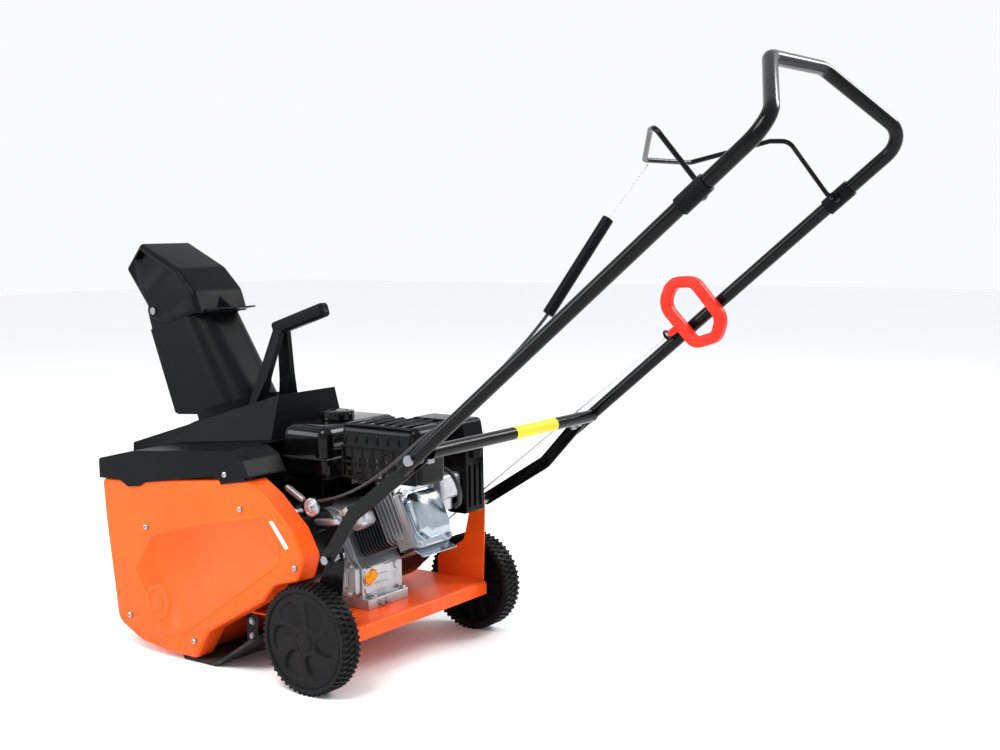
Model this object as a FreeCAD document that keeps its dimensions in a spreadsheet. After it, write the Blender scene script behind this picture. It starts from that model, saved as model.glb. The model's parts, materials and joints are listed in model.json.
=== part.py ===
"""Single-stage petrol snow blower, built as separate pieces on real joints.

Working frame, in millimetres: the origin is on the ground under the wheel axle,
+X is the operator's left, +Y the rear (handlebar side) and +Z up.  Every piece is
then placed so that the finished model's origin is at the middle of its footprint.
"""
import FreeCAD, Part
import math
import os

from FreeCAD import Placement, Rotation, Vector

DOC = FreeCAD.newDocument("SnowBlower")
PARTS = {}

SIZES = {
    # wheels and axle
    "wheel_radius": 95.0, "wheel_width": 41.7, "wheel_centre_x": 233.35, "axle_radius": 6.0,
    "hub_radius": 21.0, "running_gap": 0.08, "fit_gap": 0.04,
    # auger housing and covers
    "housing_left_x": 196.0, "housing_right_x": 238.0, "sheet_gauge": 2.5,
    "cover_bend": 6.5, "cover_gauge": 2.0, "cover_gap": 0.3, "plastic_wall": 3.0,
    "scraper_half_width": 228.0, "auger_axis_y": -384.0, "auger_axis_z": 102.0,
    "auger_radius": 98.0, "auger_wrap_radius": 110.0, "auger_shaft_radius": 10.0,
    "auger_pulley_radius": 55.0, "engine_pulley_radius": 28.0, "belt_height": 8.0,
    "belt_width": 12.0, "belt_plane_x": 217.0, "idler_radius": 20.0, "paddle_thickness": 8.0,
    # deck and engine
    "deck_top_z": 106.0, "deck_gauge": 3.0, "deck_half_width": 205.0, "deck_rear_y": 50.0,
    "deck_lip": 26.0, "crank_y": -105.0, "crank_height": 106.0, "crank_radius": 9.5,
    "engine_x": 19.0, "cylinder_tilt": 25.0, "flywheel_to_deck": 22.0, "recoil_radius": 50.0,
    # chute, in its own frame: forward edge, rear edge and widths
    "chute_seat_y": -405.0, "shroud_front_z": 380.0, "shroud_rear_z": 484.0,
    "shroud_front_y": -540.0, "shroud_rear_y": -215.0, "chute_throat_radius": 66.0,
    "chute_half_width": 70.0, "chute_top_half_width": 64.5, "chute_wall": 3.0,
    "deflector_gap": 0.5, "hood_corner": 11.0, "deflector_bolt_radius": 4.0,
    # handlebar
    "tube_radius": 11.1, "tube_wall": 1.6, "tube_half_spread": 251.5, "tube_rise": 39.23,
    "tube_foot_y": -266.4, "tube_foot_z": 7.4, "fold_y": 250.0, "bolt_radius": 4.0,
    "bail_radius": 4.0, "bail_pivot_y": 738.0, "lower_bar_width": 24.0, "lower_bar_gauge": 6.0,
    # position of the model's origin behind the wheel axle
    "datum_y": 103.0,
}


def make_sheet():
    """The spreadsheet of driving dimensions, one alias for each."""
    sheet = DOC.addObject("Spreadsheet::Sheet", "Sizes")
    for row, (alias, value) in enumerate(SIZES.items(), start=1):
        sheet.set("A%d" % row, alias)
        sheet.set("B%d" % row, repr(value))
        sheet.setAlias("B%d" % row, alias)
    DOC.recompute()
    return sheet


SHEET = make_sheet()


def size(alias):
    """A driving dimension read back from the sheet."""
    return float(SHEET.get(alias))


AXLE_FRAME = Placement(Vector(0, -size("datum_y"), 0), Rotation())
DECK_TOP = size("deck_top_z")
CRANK = Vector(size("engine_x"), size("crank_y"), DECK_TOP + size("crank_height"))
SHROUD_SLOPE = (size("shroud_rear_z") - size("shroud_front_z")) / (
    size("shroud_rear_y") - size("shroud_front_y"))
CHUTE_TILT = math.degrees(math.atan(SHROUD_SLOPE))
CHUTE_SEAT_Z = size("shroud_front_z") + SHROUD_SLOPE * (size("chute_seat_y") - size("shroud_front_y"))
TUBE_SLOPE = math.tan(math.radians(size("tube_rise")))


def tube_z(y):
    """Height of the side tubes' axis at a place along the machine."""
    return size("tube_foot_z") + TUBE_SLOPE * (y - size("tube_foot_y"))


FOLD = Vector(0, size("fold_y"), tube_z(size("fold_y")))
AUGER = Vector(0, size("auger_axis_y"), size("auger_axis_z"))
CHUTE_FRAME = AXLE_FRAME * Placement(
    Vector(0, size("chute_seat_y"), CHUTE_SEAT_Z), Rotation(Vector(1, 0, 0), CHUTE_TILT))
CYLINDER_FRAME = AXLE_FRAME * Placement(
    CRANK, Rotation(Vector(1, 0, 0), size("cylinder_tilt") - 90.0))


# --- drawing helpers -------------------------------------------------------

def corner_edges(points):
    """Edges of a closed loop; a point is (a, b) or (a, b, radius) for a rounded corner."""
    count = len(points)
    runs = []
    for index, point in enumerate(points):
        here = Vector(point[0], point[1], 0)
        before = Vector(*points[index - 1][:2], 0)
        after = Vector(*points[(index + 1) % count][:2], 0)
        radius = point[2] if len(point) > 2 else 0.0
        into, out = (here - before).normalize(), (after - here).normalize()
        turn = into.getAngle(out)
        if radius <= 0 or turn < 1e-4:
            runs.append((here, None, here))
            continue
        reach = radius * math.tan(turn / 2)
        bisector = (out - into).normalize()
        middle = here + bisector * (radius / math.cos(turn / 2) - radius)
        runs.append((here - into * reach, middle, here + out * reach))
    edges = []
    for index, (first, middle, last) in enumerate(runs):
        if middle is not None:
            edges.append(Part.Arc(first, middle, last))
        following = runs[(index + 1) % count][0]
        if last.distanceToPoint(following) > 1e-6:
            edges.append(Part.LineSegment(last, following))
    return edges


def offset_path(points, distance):
    """An open path moved to its left by a distance, with its corner radii kept parallel."""
    moved = []
    count = len(points)
    for index, point in enumerate(points):
        here = Vector(point[0], point[1], 0)
        radius = point[2] if len(point) > 2 else 0.0
        normals = []
        turn = 0.0
        if index > 0:
            into = (here - Vector(*points[index - 1][:2], 0)).normalize()
            normals.append(Vector(-into.y, into.x, 0))
        if index < count - 1:
            out = (Vector(*points[index + 1][:2], 0) - here).normalize()
            normals.append(Vector(-out.y, out.x, 0))
        if len(normals) == 2:
            turn = normals[0].cross(normals[1]).z
            shift = (normals[0] + normals[1]) * (distance / (1 + normals[0].dot(normals[1])))
        else:
            shift = normals[0] * distance
        new_radius = max(radius - distance * math.copysign(1.0, turn), 0.0) if radius else 0.0
        place = here + shift
        moved.append((place.x, place.y, new_radius))
    return moved


def strip(points, gauge):
    """Closed loop of a sheet that follows a path, with its thickness on the path's right."""
    other = offset_path(points, -gauge)
    return list(points) + other[::-1]


def inset(points, distance):
    """A closed loop moved inwards, its points running anticlockwise."""
    wrapped = [points[-1]] + list(points) + [points[0]]
    return offset_path(wrapped, distance)[1:-1]


def new_body(label, place=AXLE_FRAME):
    """An empty PartDesign body that becomes one named piece."""
    piece = DOC.addObject("PartDesign::Body", label)
    piece.Label = label
    piece.Placement = place
    PARTS[label] = piece
    return piece


def sketch_on(piece, role, loops, start=0.0):
    """A sketch on one of the body's own planes; a loop is points or ('circle', a, b, size)."""
    plane = next(item for item in piece.Origin.OriginFeatures if item.Role == role)
    sketch = piece.newObject("Sketcher::SketchObject", piece.Name + "Sketch")
    sketch.AttachmentSupport = [(plane, "")]
    sketch.MapMode = "FlatFace"
    sketch.AttachmentOffset = Placement(Vector(0, 0, start), Rotation())
    for loop in loops:
        if loop[0] == "circle":
            centre = Vector(loop[1], loop[2], 0)
            sketch.addGeometry(Part.Circle(centre, Vector(0, 0, 1), loop[3]), False)
        else:
            for edge in corner_edges(loop):
                sketch.addGeometry(edge, False)
    return sketch


def bind(feature, prop, rule):
    """Set a property to a number, or bind it to a rule on the sheet's cells."""
    if isinstance(rule, str):
        feature.setExpression(prop, rule)
    else:
        setattr(feature, prop, rule)


def pad(piece, role, loops, start, length):
    """Material from a plane at 'start', for 'length' along the plane's normal."""
    feature = piece.newObject("PartDesign::Pad", piece.Name + "Pad")
    feature.Profile = sketch_on(piece, role, loops, start)
    bind(feature, "Length", length)
    return feature


def pocket(piece, role, loops, start, length):
    """A cut from a plane at 'start', for 'length' along the plane's normal."""
    sketch = sketch_on(piece, role, loops, start)
    feature = piece.newObject("PartDesign::Pocket", piece.Name + "Pocket")
    feature.Profile = sketch
    feature.Reversed = True
    bind(feature, "Length", length)
    return feature


def turn_body(label, role, loop, axis, place):
    """A piece turned about one of its sketch's axes."""
    piece = new_body(label, place)
    sketch = sketch_on(piece, role, [loop])
    feature = piece.newObject("PartDesign::Revolution", piece.Name + "Turn")
    feature.Profile = sketch
    feature.ReferenceAxis = (sketch, [axis])
    feature.Angle = 360.0
    return piece


def feature_piece(label, shape, place=AXLE_FRAME):
    """A piece whose shape is worked out directly from the sheet's values."""
    piece = DOC.addObject("Part::Feature", label)
    piece.Label = label
    piece.Shape = shape
    piece.Placement = place
    PARTS[label] = piece
    return piece


def at(x, y, z):
    """Placement of a local frame in the working frame."""
    return AXLE_FRAME * Placement(Vector(x, y, z), Rotation())


def rod(start, end, radius):
    """A solid cylinder between two points."""
    start, end = Vector(*start), Vector(*end)
    return Part.makeCylinder(radius, (end - start).Length, start, end - start)


def block(low, high):
    """A solid box between two corners."""
    low, high = Vector(*low), Vector(*high)
    span = high - low
    return Part.makeBox(span.x, span.y, span.z, low)


def path_wire(points, radii=None):
    """Straight runs joined by tangent arcs; without radii each arc is as large as its runs allow."""
    points = [Vector(*point) for point in points]
    edges = []
    last = points[0]
    for index in range(1, len(points) - 1):
        before, here, after = points[index - 1], points[index], points[index + 1]
        into, out = (here - before), (after - here)
        shorter = min(into.Length, out.Length)
        into.normalize()
        out.normalize()
        turn = into.getAngle(out)
        radius = radii[index - 1] if radii else None
        if radius is None:
            radius = 0.45 * shorter / math.tan(turn / 2)
        reach = radius * math.tan(turn / 2)
        bisector = (out - into).normalize()
        middle = here + bisector * (radius / math.cos(turn / 2) - radius)
        first, final = here - into * reach, here + out * reach
        edges.append(Part.LineSegment(last, first).toShape())
        edges.append(Part.Arc(first, middle, final).toShape())
        last = final
    edges.append(Part.LineSegment(last, points[-1]).toShape())
    return Part.Wire(edges)


def swept(points, radius, radii=None):
    """A round rod along a path of runs and arcs, checked against section times length."""
    wire = path_wire(points, radii)
    start = Vector(*points[0])
    heading = Vector(*points[1]) - start
    section = Part.Wire([Part.makeCircle(radius, start, heading)])
    shape = wire.makePipeShell([section], True, False)
    expected = math.pi * radius ** 2 * wire.Length
    if abs(shape.Volume - expected) > 0.02 * expected:
        raise ValueError("a swept rod has the wrong volume")
    return shape


def lofted(sections):
    """A ruled solid through closed loops of 3D points."""
    wires = [Part.makePolygon([Vector(*p) for p in loop] + [Vector(*loop[0])]) for loop in sections]
    return Part.makeLoft(wires, True, True)


def rounded(shape, radius, keep):
    """Fillet the edges of a solid that a rule picks."""
    edges = [edge for edge in shape.Edges if keep(edge)]
    return shape.makeFillet(radius, edges) if edges else shape


# --- outlines that several pieces share ----------------------------------------

SIDE_OUTLINE = [
    (-533.0, 322.0, 9), (-527.0, 240.0, 60), (-512.0, 120.0, 60), (-503.0, 50.0, 30),
    (-440.0, 20.0, 40), (-366.0, 10.5, 20), (-289.0, 10.5, 8), (-252.0, 66.0, 14),
    (-110.0, 143.0, 12), (-80.0, 176.0, 30), (-24.0, 190.0, 11), (-8.0, 232.0, 22),
    (-34.0, 278.0, 20), (-92.0, 330.0, 14), (-135.0, 356.0, 9),
]
COVER_TOP = [(-535.0, 362.0, 8), (-431.0, 385.0, 40), (-174.0, 405.0, 14), (-146.0, 391.0, 12),
             (-129.0, 362.0, 6), (-62.0, 361.0, 3)]
COVER_UNDER = [(-128.0, 357.0), (-201.0, 343.0), (-209.0, 358.0), (-405.0, 327.0), (-421.0, 318.5),
               (-453.0, 314.5), (-476.0, 325.0), (-535.0, 324.5)]


SCRAPER_GAUGE = 6.0
COVER_FACE_X = size("housing_left_x") + 42.0
RAMP_FOOT = (-248.5, SCRAPER_GAUGE)
RAMP_TOP = (-147.0, 71.0)


# --- auger housing, covers and scraper ---------------------------------------

def build_housing():
    """Welded sheet housing: curved back, two side walls and a front cross-beam."""
    piece = new_body("auger_housing")
    gauge = size("sheet_gauge")
    wrap = size("auger_wrap_radius")
    left, right = size("housing_left_x"), -size("housing_right_x")

    def on_wrap(angle, reach=wrap):
        bend = math.radians(angle)
        return AUGER.y + reach * math.cos(bend), AUGER.z + reach * math.sin(bend)

    lip_z = SCRAPER_GAUGE + gauge
    low = on_wrap(-50.0)
    toe_y = low[0] - (low[1] - lip_z) / math.tan(math.radians(40.0))
    back = [(toe_y - 14.0, lip_z), (toe_y, lip_z, 9.0),
            (*on_wrap(-25.0, wrap / math.cos(math.radians(25.0))), wrap),
            (*on_wrap(22.5, wrap / math.cos(math.radians(22.5))), wrap * 0.98),
            (AUGER.y + 66.0, AUGER.z + 96.0, 20.0), (AUGER.y + 70.0, 352.0)]
    pad(piece, "YZ_Plane", [strip(back, gauge)], right + gauge / 2, left - right - gauge / 2)
    shaft_hole = ("circle", AUGER.y, AUGER.z, size("auger_shaft_radius") + 8.0)
    drive_hole = ("circle", CRANK.y, CRANK.z, 18.0)
    pad(piece, "YZ_Plane", [SIDE_OUTLINE, shaft_hole, drive_hole], left, "Sizes.sheet_gauge")
    right_outline = SIDE_OUTLINE[:7] + [(-262.0, 60.0, 20), (-262.0, 345.0, 6)]
    pad(piece, "YZ_Plane", [right_outline, shaft_hole], right, "Sizes.sheet_gauge")
    beam = [(-532.0, 300.0), (-529.5, 300.0), (-529.5, 322.0), (-532.0, 322.0)]
    pad(piece, "YZ_Plane", [beam], right + gauge / 2, left - right - gauge / 2)
    pivot = idler_places()[1]
    pad(piece, "YZ_Plane", [("circle", pivot.y, pivot.z, 9.0)], left + gauge / 2, gauge / 2 + 4.6)
    pad(piece, "YZ_Plane", [("circle", pivot.y, pivot.z, 5.0)], left + gauge / 2, gauge / 2 + 12.0)


def side_plate(loops, start_x, length):
    """A solid whose outline is drawn in (Y, Z) and which runs along +X from a start."""
    faces = [Part.Face(Part.Wire([edge.toShape() for edge in corner_edges(loop)])) for loop in loops]
    face = faces[0].cut(faces[1:]) if len(faces) > 1 else faces[0]
    solid = face.extrude(Vector(0, 0, length))
    solid.Placement = Placement(Vector(start_x, 0, 0), Rotation(Vector(1, 1, 1), 120))
    return solid


def build_belt_cover():
    """Pressed cover over the belt: a round-edged outer face with a rim turned in all round."""
    start = size("housing_left_x") + size("sheet_gauge") + 0.3
    end = COVER_FACE_X
    gauge, bend = size("cover_gauge"), size("cover_bend")
    outer = side_plate([SIDE_OUTLINE], start, end - start)
    outer = rounded(outer, bend, lambda edge: edge.BoundBox.XMin > end - 0.01)
    inner = side_plate([inset(SIDE_OUTLINE, gauge)], start, end - start - gauge)
    inner = rounded(inner, bend - gauge, lambda edge: edge.BoundBox.XMin > end - gauge - 0.01)
    feature_piece("belt_cover", outer.cut(inner))


def build_top_cover():
    """Plastic lid over the whole housing, cut away behind for the fuel tank."""
    piece = new_body("top_cover")
    wall = size("plastic_wall")
    right = -size("housing_right_x") - size("cover_gap") - wall
    width = COVER_FACE_X + size("cover_gap") + wall - right
    outline = COVER_UNDER[::-1] + COVER_TOP[::-1]
    pad(piece, "YZ_Plane", [outline], right, width)
    hollow = [(-532.0, 290.0), (-120.0, 290.0), (-66.0, 350.0), (-66.0, 358.0), (-131.0, 359.0, 3),
              (-148.0, 388.0, 8), (-174.5, 402.0, 10), (-431.0, 382.0, 30), (-532.0, 359.5, 5)]
    pocket(piece, "YZ_Plane", [hollow], right + wall, width - 2 * wall)
    throat = [(-132.0, -512.0, 8), (132.0, -512.0, 8), (104.0, -300.0, 8), (-104.0, -300.0, 8)]
    tank_gap = [(-150.0, -204.0, 14), (150.0, -204.0, 14), (150.0, -20.0), (-150.0, -20.0)]
    pocket(piece, "XY_Plane", [throat, tank_gap], 250.0, 200.0)


def build_shroud():
    """Ramp-shaped plastic hood that carries the chute ring on its sloping top."""
    wall = size("plastic_wall")
    front_y, rear_y = size("shroud_front_y"), size("shroud_rear_y")
    front_z, rear_z = size("shroud_front_z"), size("shroud_rear_z")

    def section(y, half_low, half_high, low, high):
        return [(-half_low, y, low), (half_low, y, low), (half_high, y, high), (-half_high, y, high)]

    outer = lofted([section(front_y, 156, 153, 340, front_z), section(rear_y, 118, 76, 340, rear_z)])
    rise = wall / math.cos(math.radians(CHUTE_TILT))
    inner = lofted([
        section(front_y + wall, 156 - wall, 153 - wall, 330, front_z + SHROUD_SLOPE * wall - rise),
        section(rear_y - wall, 118 - wall, 76 - wall, 330, rear_z - SHROUD_SLOPE * wall - rise)])
    throat = Part.makeCylinder(size("chute_throat_radius"), 60, Vector(0, 0, -30))
    throat.Placement = AXLE_FRAME.inverse() * CHUTE_FRAME
    face = Part.Face(Part.Wire(Part.sortEdges([
        edge.toShape() for edge in corner_edges([(-560, 250), (-50, 250)] + COVER_TOP[::-1])])[0]))
    lid = face.extrude(Vector(0, 0, 600))
    lid.Placement = Placement(Vector(-300, 0, 0.2), Rotation(Vector(1, 1, 1), 120))
    feature_piece("chute_shroud", outer.cut(inner).cut(throat).cut(lid))


def build_scraper():
    """Scraper bar and skid that rests on the ground, and the brackets that hold it."""
    piece = new_body("scraper")
    half = size("scraper_half_width")
    profile = [(-334.0, SCRAPER_GAUGE), (-330.0, 0.0), (-246.0, 0.0, 12), (-144.0, 66.0), RAMP_TOP,
               (*RAMP_FOOT, 6)]
    pad(piece, "YZ_Plane", [profile], -half, 2 * half)
    ramp = (RAMP_TOP[1] - RAMP_FOOT[1]) / (RAMP_TOP[0] - RAMP_FOOT[0])
    ceiling = DECK_TOP - size("deck_gauge") - 0.1
    plate = [(y, RAMP_FOOT[1] + ramp * (y - RAMP_FOOT[0]) + 0.3, 2) for y in (-196.0, -168.0)]
    plate += [(-168.0, ceiling, 4), (-196.0, ceiling, 4)]
    inner_x = size("housing_left_x") - 3.6
    shapes = []
    for start in (inner_x, -inner_x - 3.0):
        shapes.append(side_plate([plate], start, 3.0))
    feature_piece("scraper_brackets", Part.makeCompound(shapes))


# --- auger -------------------------------------------------------------------

def build_auger():
    """Auger shaft, its curved rubber paddles, bearings and pulley."""
    reach = size("housing_right_x") - 6.0
    radius = size("auger_shaft_radius")
    pulley_x = size("belt_plane_x")
    left_stop, right_stop = PADDLE_LEFT + 2.0, PADDLE_RIGHT - 2.0
    outline = [(-reach, 0), (pulley_x + 12, 0), (pulley_x + 12, radius), (left_stop + 4, radius),
               (left_stop + 4, 18), (left_stop, 18), (left_stop, radius), (right_stop, radius),
               (right_stop, 18), (right_stop - 4, 18), (right_stop - 4, radius), (-reach, radius)]
    turn_body("auger_shaft", "XY_Plane", outline, "H_Axis", at(*AUGER))
    feature_piece("auger_paddles", paddle_pair(), at(*AUGER))
    flange = radius + size("running_gap")
    shapes = []
    left, right = size("housing_left_x"), -size("housing_right_x") + size("sheet_gauge")
    for start, step in ((left - 12.0, 14.4), (right - 2.4, 12.0)):
        ring = rod((start, AUGER.y, AUGER.z), (start + step, AUGER.y, AUGER.z), radius + 7.9)
        lip_start = left - 4.3 if start > 0 else right + 0.1
        lip = rod((lip_start, AUGER.y, AUGER.z), (lip_start + 4.2, AUGER.y, AUGER.z), radius + 16)
        bore = rod((start - 9, AUGER.y, AUGER.z), (start + step + 9, AUGER.y, AUGER.z), flange)
        shapes.append(ring.fuse(lip).cut(bore).removeSplitter())
    feature_piece("auger_bearings", Part.makeCompound(shapes))
    turned_pulley("auger_pulley", size("auger_pulley_radius"), radius, at(pulley_x, AUGER.y, AUGER.z))


PADDLE_LEFT = 176.0
PADDLE_RIGHT = -212.0


def paddle_pair():
    """Two opposed rubber paddles: a flat scoop in the middle and twisted wings to each end."""
    tip, root, thick = size("auger_radius"), size("auger_shaft_radius") + 0.2, size("paddle_thickness")

    def blade(x, angle):
        turn = Rotation(Vector(1, 0, 0), angle)
        corners = [(x, -thick / 2, root + 1.5), (x, thick / 2, root + 1.5), (x, thick / 2, tip),
                   (x, -thick / 2, tip)]
        return [tuple(turn.multVec(Vector(*corner))) for corner in corners]

    def wing(start, end):
        twist = 75.0
        steps = 5
        sections = []
        for step in range(steps + 1):
            share = step / steps
            sections.append(blade(start + (end - start) * share, twist * share))
        return Part.makeLoft([Part.makePolygon([Vector(*p) for p in loop] + [Vector(*loop[0])])
                              for loop in sections], True, True)

    scoop = block((-60, -thick / 2, root + 1.5), (60, thick / 2, tip))
    half = scoop.fuse([wing(60, PADDLE_LEFT), wing(-60, PADDLE_RIGHT)])
    hub = Part.makeCylinder(root + 9, 120, Vector(-60, 0, 0), Vector(1, 0, 0))
    whole = half.fuse(half.rotated(Vector(), Vector(1, 0, 0), 180)).fuse(hub)
    bore = Part.makeCylinder(root - 0.16, 500, Vector(-250, 0, 0), Vector(1, 0, 0))
    return whole.cut(bore)


def turned_pulley(label, radius, bore, place):
    """A grooved belt pulley; its pitch sits at the given radius."""
    half, groove = size("belt_width") / 2 + 3, size("belt_height")
    hole = bore + size("fit_gap")
    outline = [(-half - 3, hole), (half + 3, hole), (half + 3, hole + 6), (half, hole + 6),
               (half, radius + 4), (half - 2, radius + 4), (half - 3.2, radius - groove / 2 - 0.4),
               (-half + 3.2, radius - groove / 2 - 0.4), (-half + 2, radius + 4), (-half, radius + 4),
               (-half, hole + 6), (-half - 3, hole + 6)]
    return turn_body(label, "XY_Plane", outline, "H_Axis", place)


def belt_line():
    """Centres of the two pulleys in their plane, with the belt's direction, upper side and lean."""
    plane_x = size("belt_plane_x")
    first, second = Vector(plane_x, CRANK.y, CRANK.z), Vector(plane_x, AUGER.y, AUGER.z)
    along = (second - first).normalize()
    across = Vector(1, 0, 0).cross(along)
    if across.z < 0:
        across = across * -1
    lean = math.asin((size("auger_pulley_radius") - size("engine_pulley_radius")) /
                     first.distanceToPoint(second))
    return first, second, along, across, lean


def belt_loop(grow):
    """Closed line round the two pulleys at their pitch, grown outwards by a distance."""
    first, second, along, across, lean = belt_line()
    small, big = size("engine_pulley_radius") + grow, size("auger_pulley_radius") + grow
    ends = []
    for side in (1, -1):
        normal = across * (side * math.cos(lean)) - along * math.sin(lean)
        ends.append((first + normal * small, second + normal * big))
    (a_small, a_big), (b_small, b_big) = ends
    edges = [Part.LineSegment(a_small, a_big), Part.Arc(a_big, second + along * big, b_big),
             Part.LineSegment(b_big, b_small), Part.Arc(b_small, first - along * small, a_small)]
    return Part.Wire([edge.toShape() for edge in edges])


IDLER_GAP = 5.0
IDLER_ARM = 62.0


def idler_places():
    """Centre of the resting idler pulley above the belt's upper run, and its arm's pivot."""
    first, second, along, across, lean = belt_line()
    share = 0.55
    small, big = size("engine_pulley_radius"), size("auger_pulley_radius")
    rise = (small + (big - small) * share + size("belt_height") / 2) / math.cos(lean)
    middle = first + (second - first) * share
    centre = middle + across * (rise + size("idler_radius") + IDLER_GAP)
    return centre, centre - along * IDLER_ARM + across * 6.0


def build_belt():
    """Drive belt, and the idler arm and pulley that tighten it."""
    half = size("belt_height") / 2
    width = size("belt_width") - 2.4
    faces = [Part.Face(belt_loop(grow)) for grow in (half, -half)]
    ring = faces[0].cut(faces[1])
    belt = ring.extrude(Vector(width / 2, 0, 0)).fuse(ring.extrude(Vector(-width / 2, 0, 0)))
    feature_piece("drive_belt", belt.removeSplitter())
    centre, pivot = idler_places()
    reach = size("idler_radius")
    turn_body("idler_pulley", "XY_Plane",
              [(-6, 5.04), (6, 5.04), (6, reach, 1), (-6, reach, 1)], "H_Axis", at(*centre))
    wall_x = size("housing_left_x") + size("sheet_gauge")
    arm = hull_plate(centre, pivot, 11.0, wall_x + 5.0, 4.0)
    arm = arm.fuse(rod((wall_x + 5.0, centre.y, centre.z), (centre.x + 9, centre.y, centre.z), 5.0))
    arm = arm.cut(rod((wall_x, pivot.y, pivot.z), (wall_x + 30, pivot.y, pivot.z), 5.08))
    feature_piece("idler_arm", arm)


def hull_plate(first, second, radius, start_x, gauge):
    """A link plate with round ends about two points, standing across X."""
    a, b = Vector(start_x, first.y, first.z), Vector(start_x, second.y, second.z)
    along = (b - a).normalize() * radius
    side = Vector(1, 0, 0).cross(along)
    edges = [Part.LineSegment(a + side, b + side), Part.Arc(b + side, b + along, b - side),
             Part.LineSegment(b - side, a - side), Part.Arc(a - side, a - along, a + side)]
    face = Part.Face(Part.Wire([edge.toShape() for edge in edges]))
    return face.extrude(Vector(gauge, 0, 0))


# --- deck, frame and wheels ----------------------------------------------------

def build_deck():
    """Folded deck plate between the side frames, with a lip turned down behind."""
    piece = new_body("engine_deck")
    gauge, half = size("deck_gauge"), size("deck_half_width")
    rear, lip = size("deck_rear_y"), size("deck_lip")
    front = AUGER.y + size("auger_wrap_radius") + 8.0
    path = [(front, DECK_TOP), (rear, DECK_TOP, 8.0), (rear, DECK_TOP - lip)]
    pad(piece, "YZ_Plane", [strip(path, gauge)], -half, 2 * half)
    wall_x = size("housing_left_x") - 0.3
    notch = [(wall_x, front - 10), (half + 10, front - 10), (half + 10, CRANK.y), (wall_x, CRANK.y)]
    pocket(piece, "XY_Plane", [notch], DECK_TOP - 20.0, 40.0)


def frame_plate(label, start, bolt):
    """Upright side frame with a tongue round the axle and an ear for the lower handle bar."""
    piece = new_body(label)
    y, z = bolt
    outline = [(-70.0, DECK_TOP - 4, 4), (-38.0, 73.0, 14), (8.0, 73.0, 14), (42.0, 104.0, 12),
               (y + 14.0, z - 8.0, 13), (y + 8.0, z + 17.0, 13), (y - 15.0, z + 13.0, 13),
               (-4.0, 180.0, 20), (-70.0, 142.0, 16)]
    axle_hole = ("circle", 0.0, size("wheel_radius"), size("axle_radius") + 0.1)
    bolt_hole = ("circle", y, z, size("bolt_radius") + 0.1)
    pad(piece, "YZ_Plane", [outline, axle_hole, bolt_hole], start, "Sizes.deck_gauge")


LEFT_BAR_FOOT = (42.0, 238.0)
RIGHT_BAR_FOOT = (34.0, 262.0)


def build_frames():
    """Left and right side frames and the axle that they carry."""
    half, gauge = size("deck_half_width"), size("deck_gauge")
    frame_plate("left_side_frame", half, LEFT_BAR_FOOT)
    frame_plate("right_side_frame", -half - gauge, RIGHT_BAR_FOOT)
    reach = size("wheel_centre_x") + 12.0
    axle = new_body("wheel_axle", at(0, 0, size("wheel_radius")))
    pad(axle, "YZ_Plane", [("circle", 0, 0, size("axle_radius"))], -reach, 2 * reach)


def build_wheels():
    """Two moulded wheels, open on their inner side, with a closed hub in front."""
    bore = size("axle_radius") + size("running_gap")
    radius, half, hub = size("wheel_radius"), size("wheel_width") / 2, size("hub_radius")
    outline = [(-half + 4, bore), (13, bore), (13, 0), (18, 0), (18, hub), (16, hub + 3),
               (16, radius - 12), (half, radius - 8), (half, radius - 3), (half - 3, radius),
               (-half + 3, radius), (-half, radius - 3), (-half, radius - 11), (11, radius - 16),
               (11, hub + 4), (-half + 4, hub - 6)]
    for label, side in (("left_wheel", 1), ("right_wheel", -1)):
        turn = Rotation(Vector(0, 0, 1), 0 if side > 0 else 180)
        place = AXLE_FRAME * Placement(Vector(side * size("wheel_centre_x"), 0, radius), turn)
        turn_body(label, "XY_Plane", outline, "H_Axis", place)


# --- engine --------------------------------------------------------------------

def build_crankcase():
    """Crankcase casting with its mounting feet, cavity and crankshaft bore; and its side cover."""
    piece = new_body("crankcase", at(CRANK.x, CRANK.y, DECK_TOP))
    rise = size("crank_height")
    tilt = math.radians(size("cylinder_tilt"))
    seat = CYLINDER_SEAT

    def on_seat(across):
        return (seat * math.cos(tilt) - across * math.sin(tilt),
                rise + seat * math.sin(tilt) + across * math.cos(tilt))

    high, low = on_seat(48.0), on_seat(-48.0)
    outline = [(-95, 0), (102, 0), (102, 19, 2), (88, 19, 1), (88, 74, 6), (*low, 3), (*high, 3),
               (high[0] - 12, high[1] + 4, 6), (-45, rise + 76, 20), (-86, rise + 40, 40),
               (-86, 22, 4), (-95, 17, 3)]
    pad(piece, "YZ_Plane", [outline], -50.0, 111.0)
    pocket(piece, "YZ_Plane", [("circle", 0, rise, 54.0)], -44.0, 105.0)
    pocket(piece, "YZ_Plane", [("circle", 0, rise, size("crank_radius") + 0.06)], -50.0, 10.0)
    cover = new_body("crankcase_cover", at(CRANK.x, CRANK.y, DECK_TOP))
    face = [(-82, 22, 12), (84, 22, 12), (84, 76, 14), (low[0] - 8, low[1] + 4, 16),
            (high[0] - 6, high[1] - 12, 16), (-44, rise + 70, 26), (-82, rise + 40, 36)]
    pad(cover, "YZ_Plane", [face], 61.0, 14.0)
    pad(cover, "YZ_Plane", [inset(face, 18.0)], 75.0, 8.0)
    pad(cover, "YZ_Plane", [("circle", 0, rise, 30.0)], 83.0, 14.0)
    pocket(cover, "YZ_Plane", [("circle", 0, rise, size("crank_radius") + 0.06)], 60.0, 40.0)


FLYWHEEL_RADIUS = size("crank_height") - size("flywheel_to_deck")
CYLINDER_SEAT = 62.0
HEAD_SEAT = 132.0
COVER_SEAT = 197.0
COVER_DROP = 17.0


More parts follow.
